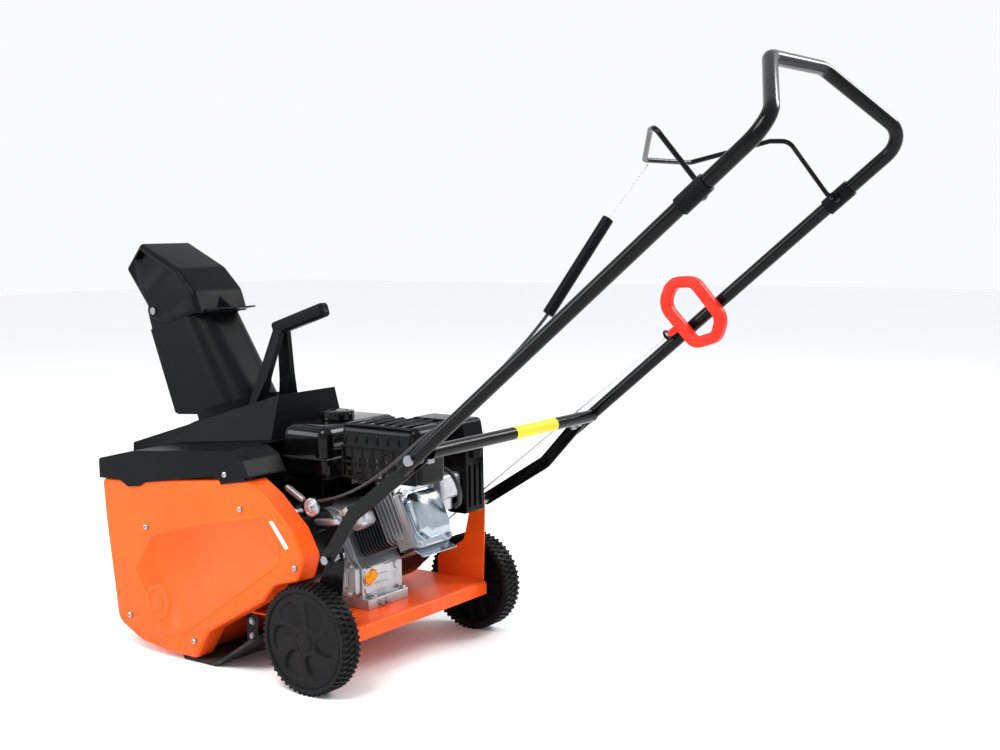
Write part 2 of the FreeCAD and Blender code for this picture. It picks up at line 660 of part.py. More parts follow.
def build_crank_train():
    """Crankshaft with its throw, flywheel, and the engine's drive pulley."""
    radius = size("crank_radius")
    end = size("belt_plane_x") + 14.0 - CRANK.x
    outline = [(-112, 0), (end, 0), (end, radius), (46, radius), (46, 44), (34, 44), (34, radius),
               (6, radius), (6, 44), (-6, 44), (-6, radius), (-112, radius)]
    shaft = turn_body("crankshaft", "XY_Plane", outline, "H_Axis", at(*CRANK))
    pad(shaft, "YZ_Plane", [("circle", 0, 26, 14)], 5.0, 30.0)
    rim, gap = FLYWHEEL_RADIUS, size("fit_gap")
    wheel = [(-92, radius + gap), (-66, radius + gap), (-66, 26), (-72, 30), (-72, rim - 20),
             (-66, rim - 14), (-66, rim), (-90, rim), (-90, rim - 10), (-80, rim - 16), (-80, 30),
             (-92, 26)]
    turn_body("flywheel", "XY_Plane", wheel, "H_Axis", at(0, CRANK.y, CRANK.z))
    turned_pulley("engine_pulley", size("engine_pulley_radius"), radius,
                  at(size("belt_plane_x"), CRANK.y, CRANK.z))


def build_starter():
    """Blower housing round the flywheel, recoil cover and the rope pulley inside it."""
    rim = FLYWHEEL_RADIUS + 12.0
    place = at(0, CRANK.y, CRANK.z)
    back = CRANK.x - 50.3
    blower = [(back, 20), (back, rim), (-112, rim), (-114, rim - 10), (-114, rim - 18), (-110, rim - 18),
              (-110, rim - 4), (back - 4, rim - 4), (back - 4, 20)]
    turn_body("blower_housing", "XY_Plane", blower, "H_Axis", place)
    dome = rim - 6.0
    cover = [(-114.2, dome - 12), (-114.2, dome), (-146, dome - 4, 8), (-160, dome - 26, 4), (-160, 0),
             (-156, 0), (-156, dome - 28), (-144, dome - 9), (-118, dome - 6), (-118, dome - 12)]
    recoil = turn_body("recoil_housing", "XY_Plane", cover, "H_Axis", place)
    pad(recoil, "YZ_Plane", [("circle", 0, 0, 7.0)], -156.5, 30.0)
    hole = [(70, -8), (110, -8), (110, 20), (70, 20)]
    pocket(recoil, "YZ_Plane", [hole], ROPE_X - 14.0, 20.0)
    bore, reach = 7.0 + size("running_gap"), size("recoil_radius")
    drum = [(ROPE_X - 11, bore), (ROPE_X + 11, bore), (ROPE_X + 11, 20), (ROPE_X + 7, 24),
            (ROPE_X + 7, reach + 6), (ROPE_X + 4, reach + 6), (ROPE_X + 3, reach), (ROPE_X - 4, reach),
            (ROPE_X - 6, reach + 6), (ROPE_X - 8.5, reach + 6), (ROPE_X - 8.5, 24), (ROPE_X - 11, 20)]
    turn_body("recoil_pulley", "XY_Plane", drum, "H_Axis", place)


ROPE_X = -139.0


def finned_block(label, start, length, half_x, low, high, fin_step, core):
    """A cooled block in the cylinder's frame: a core with a row of fins along its axis."""
    piece = new_body(label, CYLINDER_FRAME)
    pad(piece, "XY_Plane", [[(-core, -core, 10), (core, -core, 10), (core, core, 10), (-core, core, 10)]],
        start, length)
    count = int(length // fin_step)
    fin = [(-half_x, low, 14), (half_x, low, 14), (half_x, high, 14), (-half_x, high, 14)]
    first = pad(piece, "XY_Plane", [fin], start + 4.0, 2.6)
    rows = piece.newObject("PartDesign::LinearPattern", label + "Rows")
    rows.Originals = [first]
    axis = next(item for item in piece.Origin.OriginFeatures if item.Role == "Z_Axis")
    rows.Direction = (axis, [""])
    rows.Length = fin_step * (count - 1)
    rows.Occurrences = count
    piece.Tip = rows
    return piece


def build_top_end():
    """Cylinder, head, valve cover and the bright shield under the head."""
    finned_block("cylinder", CYLINDER_SEAT, HEAD_SEAT - CYLINDER_SEAT, 50, -50, 48, 7.6, 39)
    head = finned_block("cylinder_head", HEAD_SEAT, COVER_SEAT - HEAD_SEAT, 50, -48, 48, 9.0, 41)
    base = [(-50, COVER_DROP - 54, 10), (50, COVER_DROP - 54, 10), (50, COVER_DROP + 54, 10),
            (-50, COVER_DROP + 54, 10)]
    pad(head, "XY_Plane", [base], COVER_SEAT - 12.0, 12.0)
    pad(head, "XY_Plane", [[(-44, 30), (44, 30), (44, COVER_DROP + 48), (-44, COVER_DROP + 48)]],
        HEAD_SEAT + 20.0, COVER_SEAT - HEAD_SEAT - 22.0)
    lid = new_body("valve_cover", CYLINDER_FRAME)
    flange = [(-49, COVER_DROP - 53, 12), (49, COVER_DROP - 53, 12), (49, COVER_DROP + 53, 12),
              (-49, COVER_DROP + 53, 12)]
    pad(lid, "XY_Plane", [flange], COVER_SEAT, 3.0)
    loft = lid.newObject("PartDesign::AdditiveLoft", "valve_cover_dome")
    low = [(-40, COVER_DROP - 45, 16), (40, COVER_DROP - 45, 16), (40, COVER_DROP + 45, 16),
           (-40, COVER_DROP + 45, 16)]
    high = [(-31, COVER_DROP - 36, 12), (31, COVER_DROP - 36, 12), (31, COVER_DROP + 36, 12),
            (-31, COVER_DROP + 36, 12)]
    loft.Profile = sketch_on(lid, "XY_Plane", [low], COVER_SEAT + 3.0)
    loft.Sections = [sketch_on(lid, "XY_Plane", [high], COVER_SEAT + 27.0)]
    shield = new_body("cylinder_shield", CYLINDER_FRAME)
    sheet = [(71.3, 112.0), (71.3, 192.0, 3), (88.0, 206.0)]
    pad(shield, "YZ_Plane", [strip(sheet, 1.5)], -44.0, 96.0)


def hex_bolt(point, direction, radius, height, place=Placement()):
    """A hexagon head on a round washer face, standing on a point."""
    start, heading = Vector(*point), Vector(*direction).normalize()
    turn = Rotation(Vector(0, 0, 1), heading)
    ring = []
    for corner in range(7):
        angle = math.radians(60 * corner)
        ring.append(start + turn.multVec(Vector(radius * math.cos(angle), radius * math.sin(angle), 0)))
    head = Part.Face(Part.makePolygon(ring)).extrude(heading * height)
    bolt = head.fuse(Part.makeCylinder(radius * 1.25, 1.2, start, heading)).removeSplitter()
    bolt.Placement = place * bolt.Placement
    return bolt


def build_engine_bolts():
    """Foot bolts, drain bolts, side-cover bolts and valve-cover bolts."""
    bolts = [hex_bolt((CRANK.x + side * 40, CRANK.y + 96.5, DECK_TOP + 19.0), (0, 0, 1), 5.5, 6.0)
             for side in (-1, 1)]
    bolts += [hex_bolt((CRANK.x + x, CRANK.y + 102.0, DECK_TOP + 9.0), (0, 1, 0), 5.5, 6.0)
              for x in (12, 28)]
    for y, z in ((74, -24), (-72, 24), (-72, -72), (74, -74), (2, 62)):
        bolts.append(hex_bolt((CRANK.x + 75.0, CRANK.y + y, CRANK.z + z), (1, 0, 0), 5.0, 6.0))
    to_axle_frame = AXLE_FRAME.inverse() * CYLINDER_FRAME
    for x in (-42.0, 42.0):
        for y in (-46.0, 46.0):
            bolts.append(hex_bolt((x, COVER_DROP + y, COVER_SEAT + 3.0), (0, 0, 1), 4.5, 5.0, to_axle_frame))
    feature_piece("engine_bolts", Part.makeCompound(bolts))


def build_plug_and_lead():
    """Spark plug with its boot, and the lead that runs to the blower housing."""
    plug = rod((0, -48.3, 177), (0, -53, 177), 10.5).fuse(rod((0, -51.6, 177.2), (0, -66, 182), 10)).fuse(rod((0, -64, 181.4), (0, -104, 195), 8))
    feature_piece("spark_plug", plug.removeSplitter(), CYLINDER_FRAME)
    top = (AXLE_FRAME.inverse() * CYLINDER_FRAME).multVec(Vector(0, -106.4, 195.8))
    route = [tuple(top), (top.x - 2, top.y + 12, top.z + 12), (top.x - 18, top.y + 22, top.z + 2),
             (top.x - 36, top.y + 22, top.z - 26), (top.x - 48, top.y + 8, top.z - 58),
             (top.x - 56, top.y - 14, top.z - 84)]
    feature_piece("spark_lead", swept(route, 3.0))


def build_exhaust_and_intake():
    """Muffler in its guard, carburettor and the two-part air box."""
    muffler = rounded(block((45, -12, 362), (110, 118, 430)), 12, lambda edge: True)
    to_axle_frame = AXLE_FRAME.inverse() * CYLINDER_FRAME
    port = [to_axle_frame.multVec(Vector(36, y, 158)) for y in (-48.3, -53.3, -64.0)]
    pipe = rod(port[0], port[1], 15.0).fuse([
        rod(port[0], port[2], 10.0), rod(port[2], (port[2].x, port[2].y, 366.0), 10.0),
        Part.makeSphere(10.0, port[2])])
    feature_piece("muffler", muffler.fuse(pipe).removeSplitter())
    guard = rounded(block((36, -26, 346), (120, 148, 452)), 16, lambda edge: True)
    hollow = rounded(block((39, -23, 330), (117, 145, 449)), 10, lambda edge: True)
    guard = guard.cut(hollow)
    for row in range(2):
        for column in range(7):
            y = -12 + column * 22.0
            z = 352 + row * 24.0
            if 80 < y < 145 and row == 0:
                continue
            guard = guard.cut(block((110, y, z), (130, y + 15, z + 17)))
    for column in range(6):
        y = -6 + column * 24.0
        guard = guard.cut(rounded(block((52, y, 440), (112, y + 15, 460)), 5,
                                  lambda edge: abs(edge.BoundBox.ZLength) > 10))
    stays = [block((60, y, 430.3), (70, y + 6, 450)) for y in (15.0, 87.0)]
    feature_piece("muffler_guard", guard.fuse(stays).removeSplitter())
    body = rounded(block((-90, 34, 296), (-31.3, 82, 342)), 8, lambda edge: True)
    bowl = rod((-62, 58, 276), (-62, 58, 300), 18)
    feature_piece("carburettor", body.fuse(bowl).removeSplitter())
    box = new_body("air_box")
    outline = [(-45.0, 334.0, 8), (8.0, 330.0, 12), (48.0, 262.0, 10), (92.0, 262.0, 6), (92.0, 392.0),
               (-45.0, 392.0)]
    pad(box, "YZ_Plane", [outline], -146.0, 55.6)
    lid = new_body("air_box_lid")
    cap = [(-48.0, 392.3), (96.0, 392.3), (96.0, 402.0, 3), (90.0, 404.0, 3), (84.0, 436.0, 10),
           (-34.0, 436.0, 12), (-44.0, 404.0, 3), (-48.0, 402.0, 3)]
    pad(lid, "YZ_Plane", [cap], -149.0, 60.0)


def build_fuel_tank():
    """Fuel tank with its flange seam and neck, the legs that carry it and the turning cap."""
    upper = rounded(block((-108, -188, 377), (105, -74, 437)), 22,
                    lambda edge: edge.BoundBox.ZMax > 430 or edge.BoundBox.ZLength > 30)
    lower = rounded(block((-104, -184, 336), (101, -78, 379)), 16,
                    lambda edge: edge.BoundBox.ZMin < 340 or edge.BoundBox.ZLength > 30)
    seam = rounded(block((-112, -192, 375), (109, -70, 379)), 1.5, lambda edge: edge.BoundBox.ZLength < 1)
    neck = rod((CAP_X, CAP_Y, 430), (CAP_X, CAP_Y, 446), 22)
    foot_y = CRANK.y - 20.0
    legs = [block((x - 10, foot_y - 14, CRANK.z + 76.0), (x + 10, foot_y + 14, 345.0))
            for x in (CRANK.x - 31.0, CRANK.x + 47.0)]
    feature_piece("fuel_tank", upper.fuse([lower, seam, neck] + legs).removeSplitter())
    cap = [(0, 8), (22.4, 8), (22.4, -2.5), (31, -2.5), (31, 9, 3), (26, 13, 3), (0, 14)]
    turn_body("fuel_cap", "XZ_Plane", cap, "V_Axis", at(CAP_X, CAP_Y, 441.0))


CAP_X = 14.0
CAP_Y = -126.0


def build_oil_plug():
    """Winged oil filler plug in the crankcase's rear face."""
    y = CRANK.y + 88.2
    wing = rounded(block((CRANK.x + 26, y, 152), (CRANK.x + 58, y + 9, 172)), 4, lambda edge: True)
    stem = rod((CRANK.x + 42, y, 162), (CRANK.x + 42, y + 6, 162), 13)
    feature_piece("oil_plug", wing.fuse(stem).removeSplitter())


def build_belt_guard():
    """Deep guard between the engine and the housing wall, round the drive shaft."""
    piece = new_body("belt_guard")
    outline = [(-182, 150, 20), (-112, 150, 20), (-62, 180, 26), (-32, 214, 24), (-32, 262, 26),
               (-60, 292, 22), (-140, 300, 22), (-182, 270, 22)]
    start = CRANK.x + 98.0
    end = size("housing_left_x") - 0.2
    pad(piece, "YZ_Plane", [outline], start, end - start)
    pocket(piece, "YZ_Plane", [inset(outline, 3.0)], start + 3.0, end - start)
    pocket(piece, "YZ_Plane", [("circle", CRANK.y, CRANK.z, 26.0)], start - 1.0, 6.0)


# --- chute -----------------------------------------------------------------------

def d_section(front, rear, half, corner, height):
    """Closed wire of a chute section: flat front, straight sides and a rounded back."""
    loop = [(-half, front), (half, front), (half, rear, corner), (-half, rear, corner)]
    wire = Part.Wire([edge.toShape() for edge in corner_edges(loop)])
    wire.translate(Vector(0, 0, height))
    return wire


PIVOT_U = -88.0
PIVOT_W = 247.0


def build_chute():
    """Open-fronted chute standing on the swivel ring, narrowing towards its top."""
    wall = size("chute_wall")
    low, high = size("chute_half_width"), size("chute_top_half_width")
    bottom, top = 4.6, 216.0
    outer = Part.makeLoft([d_section(-97, 90, low, 58, bottom), d_section(-116, 26, high, 40, top)],
                          True, True)
    inner = Part.makeLoft([d_section(-140, 90 - wall, low - wall, 55, bottom),
                           d_section(-159, 26 - wall, high - wall, 37, top)], True, True)
    shell = outer.cut(inner)
    toe = Part.Face(Part.makePolygon([Vector(-200, -130, 0), Vector(-200, -130, 62), Vector(-200, -92, 34),
                                      Vector(-200, -24, 17), Vector(-200, -14, 0), Vector(-200, -130, 0)]))
    shell = shell.cut(toe.extrude(Vector(400, 0, 0)))
    for side in (1, -1):
        inner_x = side * (high - wall)
        ear = Part.Face(Part.Wire([edge.toShape() for edge in corner_edges(
            [(-112, top - 26), (-60, top - 26), (-64, PIVOT_W + 20, 18), (-110, PIVOT_W + 20, 18)])]))
        ear = ear.extrude(Vector(0, 0, wall))
        ear.Placement = Placement(Vector(min(inner_x, side * high), 0, 0), Rotation(Vector(1, 1, 1), 120))
        shell = shell.fuse(ear)
    bolt = Part.makeCylinder(size("deflector_bolt_radius") + 0.06, 400, Vector(-200, PIVOT_U, PIVOT_W),
                             Vector(1, 0, 0))
    feature_piece("chute", shell.cut(bolt).removeSplitter(), CHUTE_FRAME)


def build_chute_handle():
    """Swivel ring with its collar, two arms and the grip that the operator turns."""
    throat = size("chute_throat_radius")
    ring = Part.makeCylinder(102, 4.0, Vector(0, 0, 0.4)).cut(Part.makeCylinder(throat, 9, Vector(0, 0, -1)))
    collar = Part.makeCylinder(98, 22, Vector(0, 0, 0.4)).cut(Part.makeCylinder(95, 30, Vector(0, 0, -1)))
    front = block((-120, -120, 4.4), (120, -6, 40))
    shape = ring.fuse(collar.cut(front))
    shape = shape.fuse(block((-60, 84, 0.4), (60, 112, 4.4)).cut(Part.makeCylinder(95, 9, Vector(0, 0, -1))))
    for side in (1, -1):
        foot = [(side * 26, 92, 2), (side * 58, 92, 2), (side * 58, 115, 2), (side * 26, 115, 2)]
        knee = [(side * 24, 112, 46), (side * 38, 112, 46), (side * 38, 142, 46), (side * 24, 142, 46)]
        head = [(side * 1, 160, 130), (side * 11, 160, 130), (side * 11, 188, 130), (side * 1, 188, 130)]
        shape = shape.fuse(lofted([foot, knee, head]))
    grip = rounded(block((-12, 158, 120), (12, 298, 147)), 7, lambda edge: True)
    shape = shape.fuse(grip).removeSplitter()
    feature_piece("chute_handle", shape, CHUTE_FRAME)


def hood_block(half, sink, corner):
    """Solid block of the deflector's side outline, sunk inwards from its roof."""
    roof = offset_path([(34.0, 206.0), (33.0, 252.0, 40.0), (2.0, 308.0, 40.0), (-83.0, 387.0)], sink)
    over = 60.0 if sink else 0.0
    mouth = [(-83.0 - over, 387.0 + over * 0.2, 0.0 if over else 5.0), (-143.0 - over, 352.0, 10.0)]
    throat = [(-108.0 - over, 262.0 - over, 20.0), (-112.0 - over, 238.0 - over, 14.0),
              (-88.0, 222.0 - over, 12.0), (-60.0, 210.0 - over, 10.0)]
    if over:
        loop = [(roof[0][0], roof[0][1] - over)] + roof[1:] + [
            (-83.0 - over, roof[-1][1] + over * 0.9), (-220.0, 352.0), (-220.0, 120.0), (-60.0, 120.0)]
    else:
        loop = roof[:-1] + mouth + throat
    block_solid = side_plate([loop], -half, 2 * half)

    def on_roof_side(edge):
        middle = edge.CenterOfMass
        flat = edge.BoundBox.XLength < 0.01
        return flat and (middle.y > 20.0 or middle.z > 300.0 and middle.y + 83.0 > -2.0)

    return rounded(block_solid, corner, on_roof_side)


def build_deflector():
    """Hood that tilts on the top of the chute, and its two pivot bolts."""
    wall = size("chute_wall")
    inner = size("chute_top_half_width") + size("deflector_gap")
    hood = hood_block(inner + wall, 0.0, size("hood_corner"))
    hood = hood.cut(hood_block(inner, wall, size("hood_corner") - wall))
    hole = Part.makeCylinder(size("deflector_bolt_radius") + 0.06, 400, Vector(-200, PIVOT_U, PIVOT_W),
                             Vector(1, 0, 0))
    lip = side_plate([[(33.0, 208.0), (72.0, 202.0, 1), (72.0, 205.0, 1), (33.0, 214.0)]], -50.0, 100.0)
    rib = side_plate([[(33.2, 212.0), (62.0, 205.0), (33.2, 238.0)]], -2.0, 4.0)
    feature_piece("deflector", hood.cut(hole).fuse([lip, rib]).removeSplitter(), CHUTE_FRAME)
    shapes = []
    for side in (1, -1):
        start = side * (size("chute_top_half_width") - wall - 6.0)
        end = side * (inner + wall + 0.3)
        stem = rod((start, PIVOT_U, PIVOT_W), (end, PIVOT_U, PIVOT_W), size("deflector_bolt_radius"))
        dome = rod((end, PIVOT_U, PIVOT_W), (end + side * 4.0, PIVOT_U, PIVOT_W), 7.5)
        nut = rod((start, PIVOT_U, PIVOT_W), (start + side * 5.8, PIVOT_U, PIVOT_W), 8.0)
        shapes.append(stem.fuse([dome, nut]).removeSplitter())
    feature_piece("deflector_bolts", Part.makeCompound(shapes), CHUTE_FRAME)


# --- handlebar ---------------------------------------------------------------------

BRACE_Y = 273.0
BRACE_DROP = size("tube_radius") - 4.1
GRIP_CORNER = (849.4, 918.5)
GRIP_TOP = (93.7, 773.4, 1017.7)


def build_handlebar():
    """Bent upper handle tube, its brace, the lower bars and the bolts they fold on."""
    spread = size("tube_half_spread")
    radius, wall = size("tube_radius"), size("tube_wall")
    foot_y = size("fold_y") - 24.0
    half = [(spread, foot_y, tube_z(foot_y)), (spread, *GRIP_CORNER), GRIP_TOP]
    route = half + [(-x, y, z) for x, y, z in half[::-1]]
    bends = [45.0, 40.0, 40.0, 45.0]
    tube = swept(route, radius, bends).cut(swept(route, radius - wall, bends))
    for side in (1, -1):
        tube = tube.cut(rod((side * (spread - 20), FOLD.y, FOLD.z), (side * (spread + 20), FOLD.y, FOLD.z),
                            size("bolt_radius") + 0.06))
    feature_piece("upper_handle", tube)
    reach = spread - radius - 0.3
    ends = [(side * reach, BRACE_Y, tube_z(BRACE_Y) - BRACE_DROP) for side in (-1, 1)]
    feature_piece("handle_brace", rod(*ends, radius).cut(rod(*ends, radius - wall)))
    lower_bar("left_lower_bar", 1, (102.0, 321.5), LEFT_BAR_FOOT)
    lower_bar("right_lower_bar", -1, (172.0, 346.0), RIGHT_BAR_FOOT)
    feature_piece("handle_bolts", Part.makeCompound(fold_bolts(spread, radius) + foot_bolts()))


LOWER_BAR_X = 229.0


def lower_bar(label, side, bend, foot):
    """Flat bar from the side frame up to the fold bolt, cranked once on the way."""
    half = size("lower_bar_width") / 2
    heading = Vector(FOLD.y - bend[0], FOLD.z - bend[1], 0).normalize()
    tail = Vector(foot[0] - bend[0], foot[1] - bend[1], 0).normalize()
    top = (FOLD.y + heading.x * half, FOLD.z + heading.y * half)
    end = (foot[0] + tail.x * half, foot[1] + tail.y * half)
    line = [end, (bend[0], bend[1], 40.0), top]
    left, right = offset_path(line, half), offset_path(line, -half)
    loop = [(*left[0][:2], half - 0.5), left[1], (*left[2][:2], half - 0.5),
            (*right[2][:2], half - 0.5), right[1], (*right[0][:2], half - 0.5)]
    gauge = size("lower_bar_gauge")
    piece = new_body(label)
    start = LOWER_BAR_X if side > 0 else -LOWER_BAR_X - gauge
    hole = size("bolt_radius") + 0.06
    pad(piece, "YZ_Plane", [loop, ("circle", FOLD.y, FOLD.z, hole), ("circle", *foot, hole)],
        start, "Sizes.lower_bar_gauge")


def fold_bolts(spread, radius):
    """Through bolts at the fold, each with a spacer, a dome head and a wing knob inside."""
    shapes = []
    gauge = size("lower_bar_gauge")
    for side in (1, -1):
        def along(x0, x1, r):
            return rod((side * x0, FOLD.y, FOLD.z), (side * x1, FOLD.y, FOLD.z), r)
        knob_end = LOWER_BAR_X - 0.3
        shape = along(knob_end - 14, spread + radius + 5, size("bolt_radius"))
        shape = shape.fuse(along(spread + radius + 0.3, spread + radius + 5.5, 8.5))
        shape = shape.fuse(along(LOWER_BAR_X + gauge + 0.3, spread - radius - 0.3, 9.0))
        shape = shape.fuse(along(knob_end - 14, knob_end, 10.0))
        wings = block((min(side * (knob_end - 26), side * (knob_end - 10)), FOLD.y - 4, FOLD.z - 12.4),
                      (max(side * (knob_end - 26), side * (knob_end - 10)), FOLD.y + 4, FOLD.z + 12.4))
        shape = shape.fuse(rounded(wings, 3, lambda edge: True))
        shapes.append(shape.removeSplitter())
    return shapes


def foot_bolts():
    """Bolts with spacers that fix the lower bars to the side frames."""
    shapes = []
    frame_x = size("deck_half_width") + size("deck_gauge")
    gauge = size("lower_bar_gauge")
    for side, (y, z) in ((1, LEFT_BAR_FOOT), (-1, RIGHT_BAR_FOOT)):
        def along(x0, x1, r):
            return rod((side * x0, y, z), (side * x1, y, z), r)
        shape = along(frame_x - 12, LOWER_BAR_X + gauge + 6, size("bolt_radius"))
        shape = shape.fuse([along(frame_x + 0.0, LOWER_BAR_X, 9.0),
                            along(LOWER_BAR_X + gauge, LOWER_BAR_X + gauge + 6, 7.5),
                            along(frame_x - 12, frame_x - 3.0, 7.5)])
        shapes.append(shape.removeSplitter())
    return shapes


def build_bail():
    """Bent-wire control bail and the plastic sleeves that it turns in."""
    pivot_y = size("bail_pivot_y")
    pivot_z = tube_z(pivot_y)
    radius = size("bail_radius")
    spread = size("tube_half_spread")
    half = [(spread - size("tube_radius") - 1.2, pivot_y, pivot_z), (212.0, pivot_y, pivot_z),
            (222.0, 664.0, 920.0), (196.0, 642.0, 920.0), (72.0, 562.0, 885.0)]
    route = half + [(-x, y, z) for x, y, z in half[::-1]]
    bends = [10.0, 18.0, 14.0, 20.0]
    feature_piece("bail", swept(route, radius, bends + bends[::-1]))
    shapes = []
    tube = size("tube_radius")
    rise = math.radians(size("tube_rise"))
    lean = Vector(0, math.cos(rise), math.sin(rise)) * 25.0
    for side in (1, -1):
        centre = Vector(side * spread, pivot_y, pivot_z)
        wrap = Part.makeCylinder(tube + 3.0, 50.0, centre - lean, lean)
        boss = rod((side * (spread - tube - 14.0), pivot_y, pivot_z), (side * spread, pivot_y, pivot_z), 8.5)
        shape = wrap.fuse(boss)
        shape = shape.cut(Part.makeCylinder(tube + 0.1, 80.0, centre - lean * 1.6, lean))
        shape = shape.cut(rod((side * 200, pivot_y, pivot_z), (side * spread, pivot_y, pivot_z),
                              radius + size("running_gap")))
        shapes.append(shape)
    feature_piece("bail_sleeves", Part.makeCompound(shapes))


PULL_DOCK = (-231.0, 437.6, 597.2)
GUIDE_Y = 424.0


def build_pull_start():
    """Pull handle, the rope guide on the right tube and the taut starter rope."""
    outer = [(440.0, 698.0, 36), (494.0, 700.0, 34), (553.0, 632.0, 36), (541.0, 588.0, 30),
             (489.0, 572.0, 28), (419.0, 646.0, 40)][::-1]
    grip = side_plate([outer, inset(outer, 20.0)], -238.0, 22.0)
    grip = rounded(grip, 6.0, lambda edge: edge.BoundBox.XLength < 0.01)
    dock = Vector(*PULL_DOCK)
    pull = (Vector(-227.0, 466.0, 616.0) - dock).normalize()
    stub = rod(dock + pull * 2.0, (-227.0, 466.0, 616.0), 6.0)
    feature_piece("pull_handle", grip.fuse(stub).removeSplitter())
    spread = size("tube_half_spread")
    foot_z = tube_z(GUIDE_Y) + (size("tube_radius") + 0.6) / math.cos(math.radians(size("tube_rise"))) + 2.2
    ring = Part.makeTorus(8.0, 2.4, dock - pull * 4.0, pull)
    spine = swept([(-spread, GUIDE_Y, foot_z), (-spread, GUIDE_Y, 598.0), (-239.0, 432.0, 595.0)], 2.6, [6.0])
    feature_piece("rope_guide", spine.fuse(ring).removeSplitter())
    drum = Vector(ROPE_X, CRANK.y, CRANK.z)
    travel = Vector(0, dock.y - drum.y, dock.z - drum.z)
    rope_radius = size("recoil_radius") + 2.3
    lean = math.asin(rope_radius / travel.Length)
    heading = Rotation(Vector(1, 0, 0), math.degrees(lean)).multVec(Vector(travel).normalize())
    tangent = drum + Vector(1, 0, 0).cross(heading) * -rope_radius
    feature_piece("starter_rope", rod(tangent, dock + pull * 1.2, 2.0))


CABLE = [(58.7, 560.5, 879.2), (112.0, 524.0, 801.0), (195.0, 459.0, 648.0),
         (216.0, 410.0, 588.0), (226.0, 350.0, 530.0), (226.0, 296.0, 490.0), (220.0, 240.0, 458.0),
         (212.0, 178.0, 412.0), (208.0, 110.0, 368.0), (200.0, 40.0, 338.0), (184.0, -26.0, 322.0),
         (172.0, -76.0, 311.0), (166.0, -100.0, 298.4)]
SLEEVE_BENDS = {0: 300.0, 1: 50.0}


def build_cable():
    """Control cable from the bail down to the belt guard, with the sleeve over its spring."""
    radii = [SLEEVE_BENDS.get(index) for index in range(len(CABLE) - 2)]
    feature_piece("control_cable", swept(CABLE, 2.2, radii))
    start, end = Vector(*CABLE[1]), Vector(*CABLE[2])
    heading = (end - start).normalize()
    start = start + heading * 3.0
    length = (end - start).Length - 12.0
    sleeve = Part.makeCylinder(9.0, length, start, heading)
    sleeve = sleeve.cut(Part.makeCylinder(6.0, length - 6, start + heading * 3, heading))
    sleeve = sleeve.cut(Part.makeCylinder(2.6, length + 20, start - heading * 10, heading))
    feature_piece("cable_sleeve", sleeve)


def build_screws():
    """Screws that hold the belt cover, the top cover and the scraper brackets."""
    places = [(-408.9, 242.4), (-156.7, 303.3), (-27.6, 215.2), (-465.2, 65.8), (-288.2, 43.9)]
    bolts = [hex_bolt((COVER_FACE_X, y, z), (1, 0, 0), 4.6, 3.0) for y, z in places]
    cap_x = COVER_FACE_X + size("cover_gap") + size("plastic_wall")
    bolts.append(hex_bolt((cap_x, -188.9, 362.3), (1, 0, 0), 4.2, 2.4))
    bracket_x = size("housing_left_x") - 0.6
    for side in (1, -1):
        for z in (88.0, 60.0):
            bolts.append(hex_bolt((side * bracket_x, -181.0, z), (side, 0, 0), 5.5, 4.0))
    feature_piece("cover_screws", Part.makeCompound(bolts))


def build_all():
    """Every sub-assembly in the order in which the machine goes together."""
    build_housing()
    build_belt_cover()
    build_top_cover()
    build_shroud()
    build_scraper()
    build_auger()
    build_belt()
    build_deck()
    build_frames()
    build_wheels()
    build_crankcase()
    build_crank_train()
    build_starter()
    build_top_end()
    build_engine_bolts()
    build_plug_and_lead()
    build_exhaust_and_intake()
    build_fuel_tank()
    build_oil_plug()
    build_belt_guard()
    build_chute()
    build_chute_handle()
    build_deflector()
    build_handlebar()
    build_bail()
    build_pull_start()
    build_cable()
    build_screws()


def check_and_write():
    """Stop on any failed object or bad shape, then write one STEP file for each piece."""
    DOC.recompute()
    faults = []
    for item in DOC.Objects:
        if "Invalid" in item.State or "Error" in item.State:
            faults.append(item.Label)
    for label, piece in PARTS.items():
        if piece.Shape.isNull() or not piece.Shape.isValid() or not piece.Shape.Solids:
            faults.append(label + " shape")
    if faults:
        raise SystemExit("failed objects: " + ", ".join(faults))
    os.makedirs("parts", exist_ok=True)
    for label, piece in PARTS.items():
        piece.Shape.exportStep(os.path.join("parts", label + ".step"))
        print(label, len(piece.Shape.Solids), round(piece.Shape.Volume))
    print(len(PARTS), "pieces")


build_all()
check_and_write()
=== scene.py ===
"""Looks of a single-stage petrol snow blower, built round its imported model.

Everything is in metres: +X is the operator's left, +Y the handlebar side and +Z up.
"""

import json
import logging
import math
from dataclasses import dataclass
from enum import Enum
from typing import ClassVar, Iterable, Sequence

import bmesh
import bpy
import numpy as np
from mathutils import Matrix, Vector

